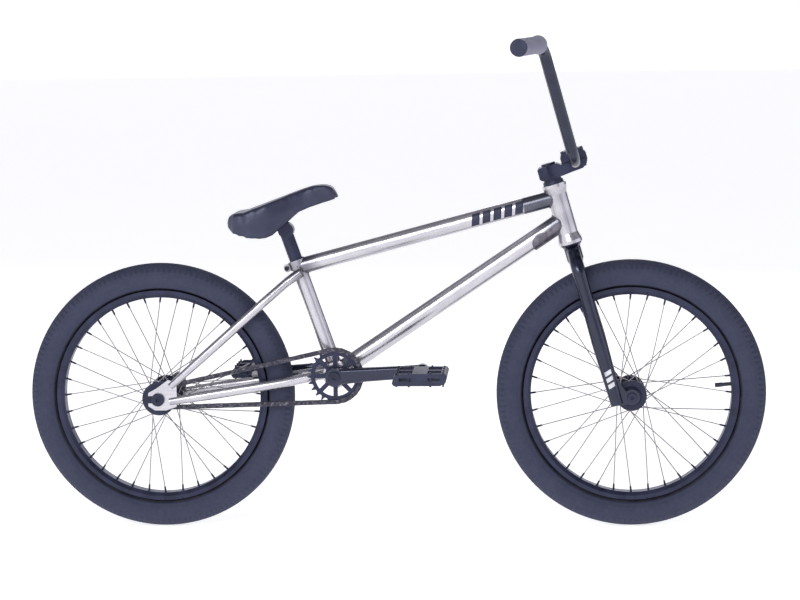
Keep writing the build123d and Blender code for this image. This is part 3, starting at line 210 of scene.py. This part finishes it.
class Finish:
    """A procedural material around one Principled shader, placed by object coordinates."""

    def __init__(self, name, metallic=0.0, roughness=0.5, **fixed):
        self.material = bpy.data.materials.new(name)
        self.material.use_nodes = True
        self.nodes = self.material.node_tree.nodes
        self.links = self.material.node_tree.links
        self.shader = self.nodes["Principled BSDF"]
        self.place = self.nodes.new("ShaderNodeTexCoord").outputs["Object"]
        self.height = None
        self.shader.inputs["Metallic"].default_value = metallic
        self.shader.inputs["Roughness"].default_value = roughness
        for socket, value in fixed.items():
            self.shader.inputs[FIXED_SOCKETS[socket]].default_value = value

    def grid(self, stretch=(1, 1, 1), pitch=0.0):
        """Coordinates whose X runs along a tube that climbs at pitch, drawn out by stretch."""
        node = self.nodes.new("ShaderNodeMapping")
        node.vector_type = "TEXTURE"
        node.inputs["Rotation"].default_value = (0, -math.radians(pitch), 0)
        node.inputs["Scale"].default_value = stretch
        self.links.new(self.place, node.inputs["Vector"])
        return node.outputs["Vector"]

    def noise(self, scale, detail=3, rough=0.5, grid=None):
        node = self.nodes.new("ShaderNodeTexNoise")
        node.inputs["Scale"].default_value = scale
        node.inputs["Detail"].default_value = detail
        node.inputs["Roughness"].default_value = rough
        self.links.new(grid or self.place, node.inputs["Vector"])
        return node.outputs["Fac"]

    def cells(self, scale):
        node = self.nodes.new("ShaderNodeTexVoronoi")
        node.inputs["Scale"].default_value = scale
        self.links.new(self.place, node.inputs["Vector"])
        return node.outputs["Distance"]

    def math(self, operation, first, second):
        node = self.nodes.new("ShaderNodeMath")
        node.operation = operation
        for socket, value in zip(node.inputs, (first, second)):
            if isinstance(value, (int, float)):
                socket.default_value = value
            else:
                self.links.new(value, socket)
        return node.outputs[0]

    def near(self, point, inner, outer):
        """1 within inner of a point, falling to 0 at outer."""
        gap = self.nodes.new("ShaderNodeVectorMath")
        gap.operation = "DISTANCE"
        gap.inputs[1].default_value = point
        self.links.new(self.place, gap.inputs[0])
        return self.fall(gap.outputs["Value"], inner, outer)

    def fall(self, value, low, high):
        node = self.nodes.new("ShaderNodeMapRange")
        node.interpolation_type = "SMOOTHSTEP"
        node.inputs["From Min"].default_value = low
        node.inputs["From Max"].default_value = high
        node.inputs["To Min"].default_value = 1.0
        node.inputs["To Max"].default_value = 0.0
        self.links.new(value, node.inputs["Value"])
        return node.outputs["Result"]

    def ramp(self, fac, *stops):
        node = self.nodes.new("ShaderNodeValToRGB")
        set_stops(node, stops)
        self.links.new(fac, node.inputs["Fac"])
        return node.outputs["Color"]

    def mix(self, fac, first, second):
        node = self.nodes.new("ShaderNodeMix")
        node.data_type = "RGBA"
        self.links.new(fac, node.inputs["Factor"])
        self.links.new(first, node.inputs[6])
        self.links.new(second, node.inputs[7])
        return node.outputs[2]

    def colour(self, value):
        self.links.new(value, self.shader.inputs["Base Color"])

    def rough(self, fac, low, high):
        """Roughness from low to high over the middle of a noise."""
        node = self.nodes.new("ShaderNodeMapRange")
        node.inputs["From Min"].default_value = 0.3
        node.inputs["From Max"].default_value = 0.7
        node.inputs["To Min"].default_value = low
        node.inputs["To Max"].default_value = high
        self.links.new(fac, node.inputs["Value"])
        self.links.new(node.outputs["Result"], self.shader.inputs["Roughness"])

    def bump(self, height, depth):
        """Adds relief of that depth in metres to any relief already there."""
        node = self.nodes.new("ShaderNodeBump")
        node.inputs["Distance"].default_value = depth
        self.links.new(height, node.inputs["Height"])
        if self.height is not None:
            self.links.new(self.height, node.inputs["Normal"])
        self.height = node.outputs["Normal"]
        self.links.new(self.height, self.shader.inputs["Normal"])


def raw_steel(name, pitch=0.0, heat=()):
    """Clear-coated bare steel: fine brushing along the tube and dark zones by the welds.

    Each zone in heat is a point, the radii where it is full and where it ends, and its strength.
    """
    look = Finish(name, metallic=0.88, coat=0.35, coat_roughness=0.12)
    brushing = look.noise(420.0, detail=5, rough=0.65, grid=look.grid((14, 1, 1), pitch))
    cloud = look.noise(26.0, detail=4)
    light = (0.625, 0.61, 0.65)
    dark = (0.48, 0.465, 0.505)
    plain = look.ramp(look.math("ADD", look.math("MULTIPLY", brushing, 0.75),
                                look.math("MULTIPLY", cloud, 0.25)),
                      (0.34, dark), (0.62, light))
    for point, inner, outer, strength in heat:
        zone = look.math("MULTIPLY", look.near(point, inner, outer), strength)
        scorch = look.ramp(cloud, (0.35, (0.085, 0.088, 0.118)), (0.65, (0.13, 0.131, 0.165)))
        plain = look.mix(zone, plain, scorch)
    look.colour(plain)
    look.rough(brushing, 0.2, 0.34)
    look.bump(brushing, 0.000012)
    return look.material


def weld_steel(name):
    """Heat-blued weld metal, darker and rougher than the tubes."""
    look = Finish(name, metallic=0.9)
    cloud = look.noise(130.0, detail=4)
    look.colour(look.ramp(cloud, (0.35, (0.12, 0.11, 0.14)), (0.55, (0.17, 0.158, 0.195)),
                          (0.72, (0.23, 0.215, 0.245))))
    look.rough(cloud, 0.3, 0.46)
    look.bump(look.noise(900.0, detail=2), 0.00005)
    return look.material


def black_finish(name, base, low, high, metallic=0.0, specular=0.5, depth=0.00004):
    """Black metal finish: faint mottling, fine grain and uneven gloss."""
    look = Finish(name, metallic=metallic, specular=specular, gloss_tint=COOL_GLOSS)
    cloud = look.noise(45.0, detail=4)
    dim = tuple(c * 0.72 for c in base)
    bright = tuple(c * 1.3 for c in base)
    look.colour(look.ramp(cloud, (0.35, dim), (0.65, bright)))
    look.rough(look.noise(90.0, detail=5), low, high)
    look.bump(look.noise(700.0, detail=2), depth)
    return look.material


def bright_metal(name, base, low, high, grain):
    """Plated or polished steel with fine scratches."""
    look = Finish(name, metallic=1.0)
    scratch = look.noise(grain, detail=5, rough=0.7, grid=look.grid((1, 8, 1)))
    dim = tuple(c * 0.7 for c in base)
    look.colour(look.ramp(scratch, (0.35, dim), (0.65, base)))
    look.rough(scratch, low, high)
    look.bump(scratch, 0.00002)
    return look.material


def chain_metal(name):
    """Oiled chain: dark film between plates that are polished in places."""
    look = Finish(name, metallic=0.9)
    film = look.noise(240.0, detail=4)
    look.colour(look.ramp(film, (0.42, (0.045, 0.045, 0.06)), (0.6, (0.09, 0.088, 0.11)),
                          (0.75, (0.26, 0.255, 0.29))))
    look.rough(film, 0.5, 0.3)
    look.bump(look.noise(1400.0, detail=2), 0.00003)
    return look.material


def rubber(name, base, grain, depth, dust=0.35):
    """Moulded rubber with fine pitting and a little pale bloom."""
    look = Finish(name, specular=0.4, gloss_tint=COOL_GLOSS)
    bloom = look.noise(38.0, detail=6, rough=0.6)
    pale = tuple(c + (0.10 * dust) for c in base)
    look.colour(look.ramp(bloom, (0.32, base), (0.72, pale)))
    look.rough(look.noise(160.0, detail=3), 0.62, 0.82)
    look.bump(look.cells(grain), depth)
    look.bump(look.noise(grain * 0.4, detail=3), depth * 0.6)
    return look.material


def seat_leather(name):
    """Smooth synthetic leather: pebble grain, faint creases and a soft gloss."""
    look = Finish(name, specular=0.7, gloss_tint=COOL_GLOSS)
    cloud = look.noise(30.0, detail=5)
    look.colour(look.ramp(cloud, (0.3, (0.02, 0.0215, 0.044)), (0.7, (0.031, 0.033, 0.06))))
    look.rough(look.noise(120.0, detail=4), 0.3, 0.42)
    look.bump(look.cells(1500.0), 0.00008)
    look.bump(look.noise(320.0, detail=4, rough=0.6), 0.0001)
    return look.material


def plastic(name, base, low, high):
    """Moulded plastic with a spark-eroded texture."""
    look = Finish(name, specular=0.45, gloss_tint=COOL_GLOSS)
    cloud = look.noise(55.0, detail=3)
    dim = tuple(c * 0.75 for c in base)
    bright = tuple(c * 1.2 for c in base)
    look.colour(look.ramp(cloud, (0.3, dim), (0.7, bright)))
    look.rough(look.noise(220.0, detail=3), low, high)
    look.bump(look.cells(1300.0), 0.00006)
    return look.material


def make_materials():
    """One finish for each slot; two bare numbers are the least and the greatest roughness."""
    return {
        "raw_steel": raw_steel("raw_steel"),
        "weld_steel": weld_steel("weld_steel"),
        "black_paint": black_finish("black_paint", (0.01, 0.011, 0.022), 0.12, 0.22,
                                    specular=0.75, depth=0.000012),
        "black_alloy": black_finish("black_alloy", (0.021, 0.0225, 0.047), 0.26, 0.4,
                                    metallic=0.15),
        "black_steel": black_finish("black_steel", (0.02, 0.0212, 0.04), 0.24, 0.38,
                                    metallic=0.15),
        "bright_steel": bright_metal("bright_steel", (0.6, 0.59, 0.6), 0.22, 0.38, grain=500.0),
        "spoke_steel": bright_metal("spoke_steel", (0.4, 0.38, 0.4), 0.3, 0.42, grain=900.0),
        "chain_steel": chain_metal("chain_steel"),
        "tyre_rubber": rubber("tyre_rubber", (0.037, 0.041, 0.072),
                              grain=900.0, depth=0.0001, dust=0.1),
        "tube_rubber": rubber("tube_rubber", (0.014, 0.015, 0.026), grain=1100.0, depth=0.00005),
        "grip_rubber": rubber("grip_rubber", (0.26, 0.255, 0.33),
                              grain=1300.0, depth=0.00008, dust=0.4),
        "black_plastic": plastic("black_plastic", (0.028, 0.03, 0.054), 0.36, 0.52),
        "pale_print": plastic("pale_print", (0.72, 0.72, 0.76), 0.4, 0.55),
        "guard_plastic": plastic("guard_plastic", (0.021, 0.023, 0.043), 0.36, 0.5),
        "seat_cover": seat_leather("seat_cover"),
    }


def finish_cad_nodes(looks):
    """Gives each carried-over CAD node the finish of its slot, and each frame tube its own."""
    top_near_head = (TOP_TUBE_FRONT + Vector((0.006, 0, -0.004)), 0.072, 0.077, 1.0)
    tubes = {
        "top_tube": raw_steel("top_tube_steel", 14.6, [
            top_near_head, (TOP_TUBE_REAR, 0.02, 0.055, 0.8)]),
        "down_tube": raw_steel("down_tube_steel", 33.8, [
            (DOWN_TUBE_FRONT, 0.025, 0.075, 0.9), (CRANK_AXLE, 0.026, 0.06, 0.5)]),
        "seat_tube": raw_steel("seat_tube_steel", 109.1, [
            (TOP_TUBE_REAR, 0.012, 0.04, 0.6), (CRANK_AXLE, 0.026, 0.055, 0.5)]),
        "head_tube": raw_steel("head_tube_steel", 105.7, [
            (TOP_TUBE_FRONT, 0.012, 0.034, 0.35), (DOWN_TUBE_FRONT, 0.012, 0.034, 0.4)]),
        "chain_stays": raw_steel("chain_stay_steel", 8.0, [
            (REAR_AXLE, 0.04, 0.09, 0.7), (CRANK_AXLE, 0.026, 0.06, 0.5)]),
        "seat_stays": raw_steel("seat_stay_steel", 41.0, [
            (REAR_AXLE, 0.04, 0.09, 0.7), (TOP_TUBE_REAR, 0.02, 0.05, 0.6)]),
    }
    for name, node in NODES.items():
        slots = node.data.materials
        for i in range(len(slots)):
            slot = slots[i].name.split(".")[0]
            slots[i] = tubes.get(name, looks[slot])


# ---------------------------------------------------------------- mesh helpers
def new_object(name, points, faces, smooth=True):
    mesh = bpy.data.meshes.new(name)
    mesh.from_pydata([tuple(p) for p in points], [], faces)
    mesh.validate()
    mesh.update()
    if smooth:
        mesh.polygons.foreach_set("use_smooth", [True] * len(mesh.polygons))
    thing = bpy.data.objects.new(name, mesh)
    bpy.context.scene.collection.objects.link(thing)
    return thing


def grid_faces(rows, columns, close_rows=True, close_columns=True):
    """Quads over a rows x columns net of points, wrapped round where it closes."""
    faces = []
    for i in range(rows if close_rows else rows - 1):
        for j in range(columns if close_columns else columns - 1):
            a, b = i * columns + j, i * columns + (j + 1) % columns
            up = ((i + 1) % rows) * columns
            faces.append((a, b, up + (j + 1) % columns, up + j))
    return faces


def outward(thing):
    """Makes a closed mesh's faces point out of it."""
    mesh = thing.data
    volume = 0.0
    for face in mesh.polygons:
        corners = [mesh.vertices[i].co for i in face.vertices]
        for b, c in zip(corners[1:], corners[2:]):
            volume += corners[0].dot(b.cross(c))
    if volume < 0:
        mesh.flip_normals()
    return thing


def place_piece(thing, body, slot, looks):
    thing.data.materials.append(looks[slot])
    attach(thing, body)


def side_axes(direction):
    """Two directions square to one another and to a third, which must not run along SIDE."""
    first = direction.cross(SIDE)
    first.normalize()
    return first, direction.cross(first).normalized()


# ---------------------------------------------------------------- tyres
TYRE_CENTRE_R, TYRE_SECTION_R, TYRE_WALL = 0.231, 0.028, 0.003
TREAD_PITCHES, STEPS_PER_PITCH = 144, 8
CENTRE_BAND, SHOULDER_BAND, BEAD_ANGLE = 34.0, 64.0, 136.0
CENTRE_DEPTH, SHOULDER_DEPTH = 0.0007, 0.0013
GROOVE_LEAN, GROOVE_SHARE, SHOULDER_RIM_SHARE = 2.0, 0.3, 0.1
# Height, angle from the crown and half width of each moulding ring on the sidewall.
SIDEWALL_RINGS = ((0.0005, 74.0, 1.6), (0.0004, 112.0, 1.8), (0.0006, 128.0, 2.0))
SIDEWALL_SINK = 0.0006
TREAD_POINTS, SIDEWALL_POINTS, INSIDE_POINTS = 52, 26, 24


def tread_cut(angle, step):
    """How far the tread is cut in at an angle from the crown, at a step round the wheel."""
    sideways = abs(angle)
    phase = (step % STEPS_PER_PITCH) / STEPS_PER_PITCH
    if sideways < CENTRE_BAND:
        along = (sideways / CENTRE_BAND * GROOVE_LEAN + phase) % 1.0
        return CENTRE_DEPTH if along < GROOVE_SHARE else 0.0
    if sideways < SHOULDER_BAND:
        edge = (sideways - CENTRE_BAND) / (SHOULDER_BAND - CENTRE_BAND)
        if edge < SHOULDER_RIM_SHARE:
            return CENTRE_DEPTH
        return SHOULDER_DEPTH if phase < GROOVE_SHARE else 0.0
    return 0.0


def sidewall_relief(angle):
    """Raised moulding rings on the side of the tyre, over a wall sunk in a little."""
    relief = 0.0
    for height, middle, width in SIDEWALL_RINGS:
        relief += height * math.exp(-(((abs(angle) - middle) / width) ** 2))
    return relief - SIDEWALL_SINK


def make_tyre(name, centre, body, node, looks):
    """Closed tyre: treaded outside, smooth inside, open to the rim between its beads."""
    outer = np.concatenate([
        np.linspace(-BEAD_ANGLE, -SHOULDER_BAND, SIDEWALL_POINTS, endpoint=False),
        np.linspace(-SHOULDER_BAND, SHOULDER_BAND, TREAD_POINTS, endpoint=False),
        np.linspace(SHOULDER_BAND, BEAD_ANGLE, SIDEWALL_POINTS + 1),
    ])
    inner = np.linspace(BEAD_ANGLE, -BEAD_ANGLE, INSIDE_POINTS)
    steps = TREAD_PITCHES * STEPS_PER_PITCH
    points = []
    for step in range(steps):
        turn = 2 * math.pi * step / steps
        for angle in outer:
            section = TYRE_SECTION_R - tread_cut(angle, step)
            if abs(angle) > SHOULDER_BAND:
                section += sidewall_relief(angle)
            points.append(tyre_point(centre, turn, angle, section))
        for angle in inner:
            points.append(tyre_point(centre, turn, angle, TYRE_SECTION_R - TYRE_WALL))
    columns = len(outer) + len(inner)
    tyre = outward(new_object(name, points, grid_faces(steps, columns)))
    place_piece(tyre, body, "tyre_rubber", looks)
    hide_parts(node)


def tyre_point(centre, turn, angle, section):
    a = math.radians(angle)
    radius = TYRE_CENTRE_R + section * math.cos(a)
    return (
        centre.x + radius * math.sin(turn),
        section * math.sin(a),
        centre.z + radius * math.cos(turn),
    )


# ---------------------------------------------------------------- grips
RIB_PITCH, RIB_DEPTH, GRIP_R, GRIP_BORE = 0.0027, 0.0009, 0.0157, 0.01115
GRIP_SIDES, RIBS_FROM, RIBS_SHORT_OF_END = 64, 0.006, 0.007
# Distance along the grip, from its start and from its outer end, and radius there.
GRIP_FLANGE = ((0.0, GRIP_BORE), (0.0, 0.0166), (0.0006, 0.0173), (0.0024, 0.0173),
               (0.003, 0.0166), (0.0042, 0.0152))
GRIP_CAP = ((-0.004, 0.0155), (-0.003, 0.0161), (0.0004, 0.0161), (0.001, 0.0155),
            (0.001, GRIP_BORE))


def grip_profile():
    """Distance along the grip and radius there: a flange, ribs, and a rounded end."""
    profile = list(GRIP_FLANGE)
    low = GRIP_R - RIB_DEPTH
    at = RIBS_FROM
    while at < GRIP_LENGTH - RIBS_SHORT_OF_END:
        profile += [(at, low), (at + RIB_PITCH * 0.28, low), (at + RIB_PITCH * 0.45, GRIP_R)]
        profile += [(at + RIB_PITCH * 0.82, GRIP_R), (at + RIB_PITCH, low)]
        at += RIB_PITCH
    return profile + [(GRIP_LENGTH + past, radius) for past, radius in GRIP_CAP]


def make_grip(name, mirror, node, looks):
    end = Vector((BAR_END.x, BAR_END.y * mirror, BAR_END.z))
    corner = Vector((BAR_CORNER.x, BAR_CORNER.y * mirror, BAR_CORNER.z))
    out = (end - corner).normalized()
    start = end - out * GRIP_LENGTH
    first, second = side_axes(out)
    profile = grip_profile()
    points = []
    for i in range(GRIP_SIDES):
        turn = 2 * math.pi * i / GRIP_SIDES
        ray = first * math.cos(turn) + second * math.sin(turn)
        points += [start + out * along + ray * radius for along, radius in profile]
    grip = outward(new_object(name, points, grid_faces(GRIP_SIDES, len(profile))))
    place_piece(grip, "handlebar_unit", "grip_rubber", looks)
    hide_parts(node)


# ---------------------------------------------------------------- welds
WELD_POINTS, WELD_SIDES, SCALLOP_PITCH = 240, 8, 0.0026
HEAD_BEAD, SHELL_BEAD, SEAT_BEAD, STAY_BEAD = 0.0019, 0.0018, 0.0017, 0.0014


def meeting_line(start, direction, radius, axis_point, axis, main_radius, count):
    """Closed line where a round tube runs into the side of another."""
    first, second = side_axes(direction)
    line = []
    for i in range(count):
        turn = 2 * math.pi * i / count
        ray = first * math.cos(turn) + second * math.sin(turn)
        edge = start + ray * radius - axis_point
        across = direction - axis * direction.dot(axis)
        offset = edge - axis * edge.dot(axis)
        a, b = across.dot(across), across.dot(offset)
        c = offset.dot(offset) - main_radius ** 2
        reach = (-b + math.sqrt(max(b * b - a * c, 0.0))) / a
        line.append(start + ray * radius + direction * reach)
    return line


def make_weld(name, line, size, looks):
    """Bead laid along a closed line, in overlapping scallops."""
    count, around = len(line), WELD_SIDES
    length = sum((line[i] - line[i - 1]).length for i in range(count))
    scallops = round(length / SCALLOP_PITCH)
    points = []
    middle = sum(line, Vector()) / count
    for i, spot in enumerate(line):
        along = (line[(i + 1) % count] - line[i - 1]).normalized()
        out = spot - middle
        out = (out - along * out.dot(along)).normalized()
        other = along.cross(out)
        swell = size * (0.8 + 0.2 * abs(math.sin(math.pi * scallops * i / count)))
        for j in range(around):
            turn = 2 * math.pi * j / around
            points.append(spot + out * swell * math.cos(turn) + other * swell * math.sin(turn))
    bead = outward(new_object(name, points, grid_faces(count, around)))
    place_piece(bead, "frame", "weld_steel", looks)


def make_welds(looks):
    """A bead where each tube of the frame runs into the tube or shell that carries it."""
    head = (STEER_FOOT, STEER_UP, HEAD_TUBE_R)
    seat = (CRANK_AXLE, SEAT_UP, SEAT_TUBE_R)
    shell = (CRANK_AXLE, SIDE, CRANK_SHELL_R)
    top = (TOP_TUBE_REAR - TOP_TUBE_FRONT).normalized()
    down = (CRANK_AXLE - DOWN_TUBE_FRONT).normalized()
    joints = [
        ("weld_top_head", TOP_TUBE_FRONT, top, TOP_TUBE_R, head, HEAD_BEAD),
        ("weld_down_head", DOWN_TUBE_FRONT, down, DOWN_TUBE_R, head, HEAD_BEAD),
        ("weld_top_seat", TOP_TUBE_REAR, -top, TOP_TUBE_R, seat, SEAT_BEAD),
        ("weld_down_shell", CRANK_AXLE, -down, DOWN_TUBE_R, shell, SHELL_BEAD),
        ("weld_seat_shell", CRANK_AXLE, SEAT_UP, SEAT_TUBE_R, shell, SHELL_BEAD),
    ]
    for hand, word in ((1, "left"), (-1, "right")):
        stay_top = CRANK_AXLE + SEAT_UP * 0.208 + SIDE * 0.0165 * hand
        stay_near = REAR_AXLE + Vector((0.249, 0.024 * hand, 0.221))
        chain_front = CRANK_AXLE + Vector((-0.018, 0.0245 * hand, 0.001))
        chain_bend = REAR_AXLE + Vector((0.236, 0.0405 * hand, 0.0275))
        joints.append(("weld_seat_stay_" + word, stay_top, (stay_near - stay_top).normalized(),
                       SEAT_STAY_R, seat, STAY_BEAD))
        joints.append(("weld_chain_stay_" + word, chain_front,
                       (chain_bend - chain_front).normalized(), CHAIN_STAY_R, shell, STAY_BEAD))
    for name, start, direction, radius, (point, axis, main_radius), size in joints:
        line = meeting_line(start, direction, radius, point, axis, main_radius, WELD_POINTS)
        make_weld(name, line, size, looks)


# ---------------------------------------------------------------- plain decals
PRINT_COLUMNS, PRINT_ROWS, PRINT_THICK, PRINT_PROUD = 20, 6, 0.00012, 0.00006
TUBE_BARS, TUBE_BAR_START, TUBE_BAR_PITCH, TUBE_BAR_LENGTH = 5, 0.068, 0.0215, 0.0155
TUBE_BAR_SLANT, TUBE_BAR_SPREAD = -0.005, 44
LEG_BARS, LEG_BAR_START, LEG_BAR_PITCH, LEG_BAR_LENGTH = 3, 0.03, 0.0125, 0.0085
LEG_BAR_SLANT, LEG_BAR_SPREAD = 0.004, 30


def curved_patch(name, start, along, radius, low, high, slant, side, spread):
    """Thin slanted band wrapped on the side of a round tube, closed all round.

    It runs from low to high along the tube and spreads that many degrees up and down.
    """
    columns, rows = PRINT_COLUMNS, PRINT_ROWS
    upward = along.cross(SIDE).normalized()
    upward = upward if upward.z > 0 else -upward
    points = []
    for depth in (PRINT_PROUD, PRINT_PROUD + PRINT_THICK):
        for row in range(rows):
            for column in range(columns):
                turn = math.radians(-spread + 2 * spread * column / (columns - 1))
                at = low + (high - low) * row / (rows - 1) + slant * math.sin(turn)
                ray = SIDE * side * math.cos(turn) + upward * math.sin(turn)
                points.append(start + along * at + ray * (radius(at) + depth))
    layer = rows * columns
    faces = grid_faces(rows, columns, False, False)
    faces += [tuple(i + layer for i in reversed(f)) for f in faces]
    border = list(range(columns))
    border += [r * columns + columns - 1 for r in range(1, rows)]
    border += [(rows - 1) * columns + c for c in range(columns - 2, -1, -1)]
    border += [r * columns for r in range(rows - 2, 0, -1)]
    for a, b in zip(border, border[1:] + border[:1]):
        faces.append((b, a, a + layer, b + layer))
    return outward(new_object(name, points, faces))


def leg_radius(at):
    """Radius of a fork leg at a distance up from its foot."""
    return LEG_FOOT_R + (LEG_MIDDLE_R - LEG_FOOT_R) * at / LEG_MIDDLE_ALONG


def make_decals(looks):
    """Plain slanted bars on the top tube and short bars low on the fork legs."""
    top = (TOP_TUBE_REAR - TOP_TUBE_FRONT).normalized()
    for side, word in ((-1, "right"), (1, "left")):
        for i in range(TUBE_BARS):
            low = TUBE_BAR_START + TUBE_BAR_PITCH * i
            bar = curved_patch(f"top_tube_bar_{word}_{i}", TOP_TUBE_FRONT, top,
                               lambda at: TOP_TUBE_R, low, low + TUBE_BAR_LENGTH,
                               TUBE_BAR_SLANT, side, TUBE_BAR_SPREAD)
            place_piece(bar, "frame", "black_plastic", looks)
        foot = STEER_FOOT + SIDE * LEG_SIDE * side
        for i in range(LEG_BARS):
            low = LEG_BAR_START + LEG_BAR_PITCH * i
            bar = curved_patch(f"fork_bar_{word}_{i}", foot, STEER_UP, leg_radius,
                               low, low + LEG_BAR_LENGTH,
                               LEG_BAR_SLANT, side, LEG_BAR_SPREAD)
            bar.data.materials.append(looks["pale_print"])
            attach(bar, "steering")


# ---------------------------------------------------------------- chain
def make_chain(looks):
    """The links' loop keeps its place on the frame while the sprocket turns inside it."""
    chain = bpy.data.objects.new("chain_links", NODES["chain"].data.copy())
    chain.data.materials.clear()
    bpy.context.scene.collection.objects.link(chain)
    place_piece(chain, "frame", "chain_steel", looks)
    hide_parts("chain")


# ---------------------------------------------------------------- seat
SEAT_LONG = Vector((0.976, 0, 0.216))
SEAT_REACH_BACK, SEAT_REACH_AHEAD = 0.06, 0.03
SEAT_VOXEL, SEAT_PRESSURE, SEAT_CAP, SEAT_FRAMES = 0.0042, 4.0, 0.002, 20
SEAT_HOLD, SEAT_ROUNDS_BEFORE, SEAT_ROUNDS_AFTER = 0.005, 12, 25
SEAT_STRETCH_STIFFNESS, SEAT_BEND_STIFFNESS = 15, 2
SMOOTH_IN, SMOOTH_OUT = 0.5, -0.52


def smooth_points(points, edges, rounds):
    """Evens out a mesh without shrinking it: each round moves points in and back out."""
    count = np.zeros(len(points))
    np.add.at(count, edges.ravel(), 1)
    for _ in range(rounds):
        for share in (SMOOTH_IN, SMOOTH_OUT):
            total = np.zeros_like(points)
            np.add.at(total, edges[:, 0], points[edges[:, 1]])
            np.add.at(total, edges[:, 1], points[edges[:, 0]])
            points = points + share * (total / count[:, None] - points)
    return points


def draw_out(points):
    """Draws the cover out along its length, over the ends of the seat base."""
    long = np.array(SEAT_LONG)
    along = points @ long
    along -= (along.min() + along.max()) / 2
    reach = np.where(along < 0, SEAT_REACH_BACK, SEAT_REACH_AHEAD)
    return points + np.outer(along * reach, long)


def get_points(mesh):
    flat = np.empty(len(mesh.vertices) * 3)
    mesh.vertices.foreach_get("co", flat)
    return flat.reshape(-1, 3)


def apply_modifiers(thing):
    graph = bpy.context.evaluated_depsgraph_get()
    mesh = bpy.data.meshes.new_from_object(thing.evaluated_get(graph))
    thing.modifiers.clear()
    thing.data = mesh


def make_seat(looks):
    """Stuffed seat cover, smoothed, drawn out and swollen from the padding's shape."""
    source = NODES["seat_cushion"]
    seat = bpy.data.objects.new("seat_cover_padded", source.data.copy())
    seat.data.materials.clear()
    bpy.context.scene.collection.objects.link(seat)
    remesh = seat.modifiers.new("remesh", "REMESH")
    remesh.mode = "VOXEL"
    remesh.voxel_size = SEAT_VOXEL
    apply_modifiers(seat)
    edges = np.array([tuple(e.vertices) for e in seat.data.edges])
    smooth = draw_out(smooth_points(get_points(seat.data), edges, SEAT_ROUNDS_BEFORE))
    seat.data.vertices.foreach_set("co", smooth.ravel())
    swell(seat, smooth)
    settled = smooth_points(get_points(seat.data), edges, SEAT_ROUNDS_AFTER)
    seat.data.vertices.foreach_set("co", settled.ravel())
    seat.data.polygons.foreach_set("use_smooth", [True] * len(seat.data.polygons))
    divide = seat.modifiers.new("divide", "SUBSURF")
    divide.levels = 1
    divide.render_levels = 1
    apply_modifiers(seat)
    place_piece(seat, "seat", "seat_cover", looks)
    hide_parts("seat_cushion")


def swell(seat, rest):
    """Blows the cover up as cloth, holding still what lies against the seat base."""
    base = NODES["seat_base"].data
    tree = BVHTree.FromPolygons([v.co for v in base.vertices],
                                [tuple(p.vertices) for p in base.polygons])
    held = seat.vertex_groups.new(name="held")
    for i, point in enumerate(rest):
        near = tree.find_nearest(Vector(point))
        if near[0] is not None and near[3] < SEAT_HOLD:
            held.add([i], 1.0, "REPLACE")
    cloth = seat.modifiers.new("cloth", "CLOTH")
    cloth.settings.effector_weights.gravity = 0.0
    cloth.settings.use_pressure = True
    cloth.settings.uniform_pressure_force = SEAT_PRESSURE
    cloth.settings.vertex_group_mass = "held"
    cloth.settings.tension_stiffness = SEAT_STRETCH_STIFFNESS
    cloth.settings.compression_stiffness = SEAT_STRETCH_STIFFNESS
    cloth.settings.bending_stiffness = SEAT_BEND_STIFFNESS
    cloth.point_cache.frame_start = 1
    cloth.point_cache.frame_end = SEAT_FRAMES
    for number in range(1, SEAT_FRAMES + 1):
        bpy.context.scene.frame_set(number)
    apply_modifiers(seat)
    moved = get_points(seat.data) - rest
    length = np.linalg.norm(moved, axis=1)
    limit = np.minimum(1.0, SEAT_CAP / np.maximum(length, 1e-9))
    points = rest + moved * limit[:, None]
    seat.data.vertices.foreach_set("co", points.ravel())
    seat.vertex_groups.clear()
    bpy.context.scene.frame_set(1)


# ---------------------------------------------------------------- the whole bike
make_camera()
make_studio()
make_floor()
looks = make_materials()
finish_cad_nodes(looks)
make_tyre("front_tyre_treaded", FRONT_AXLE, "front_wheel", "front_tyre", looks)
make_tyre("rear_tyre_treaded", REAR_AXLE, "rear_wheel", "rear_tyre", looks)
make_grip("grip_left_ribbed", 1, "grip_left", looks)
make_grip("grip_right_ribbed", -1, "grip_right", looks)
make_welds(looks)
make_decals(looks)
make_chain(looks)
make_seat(looks)
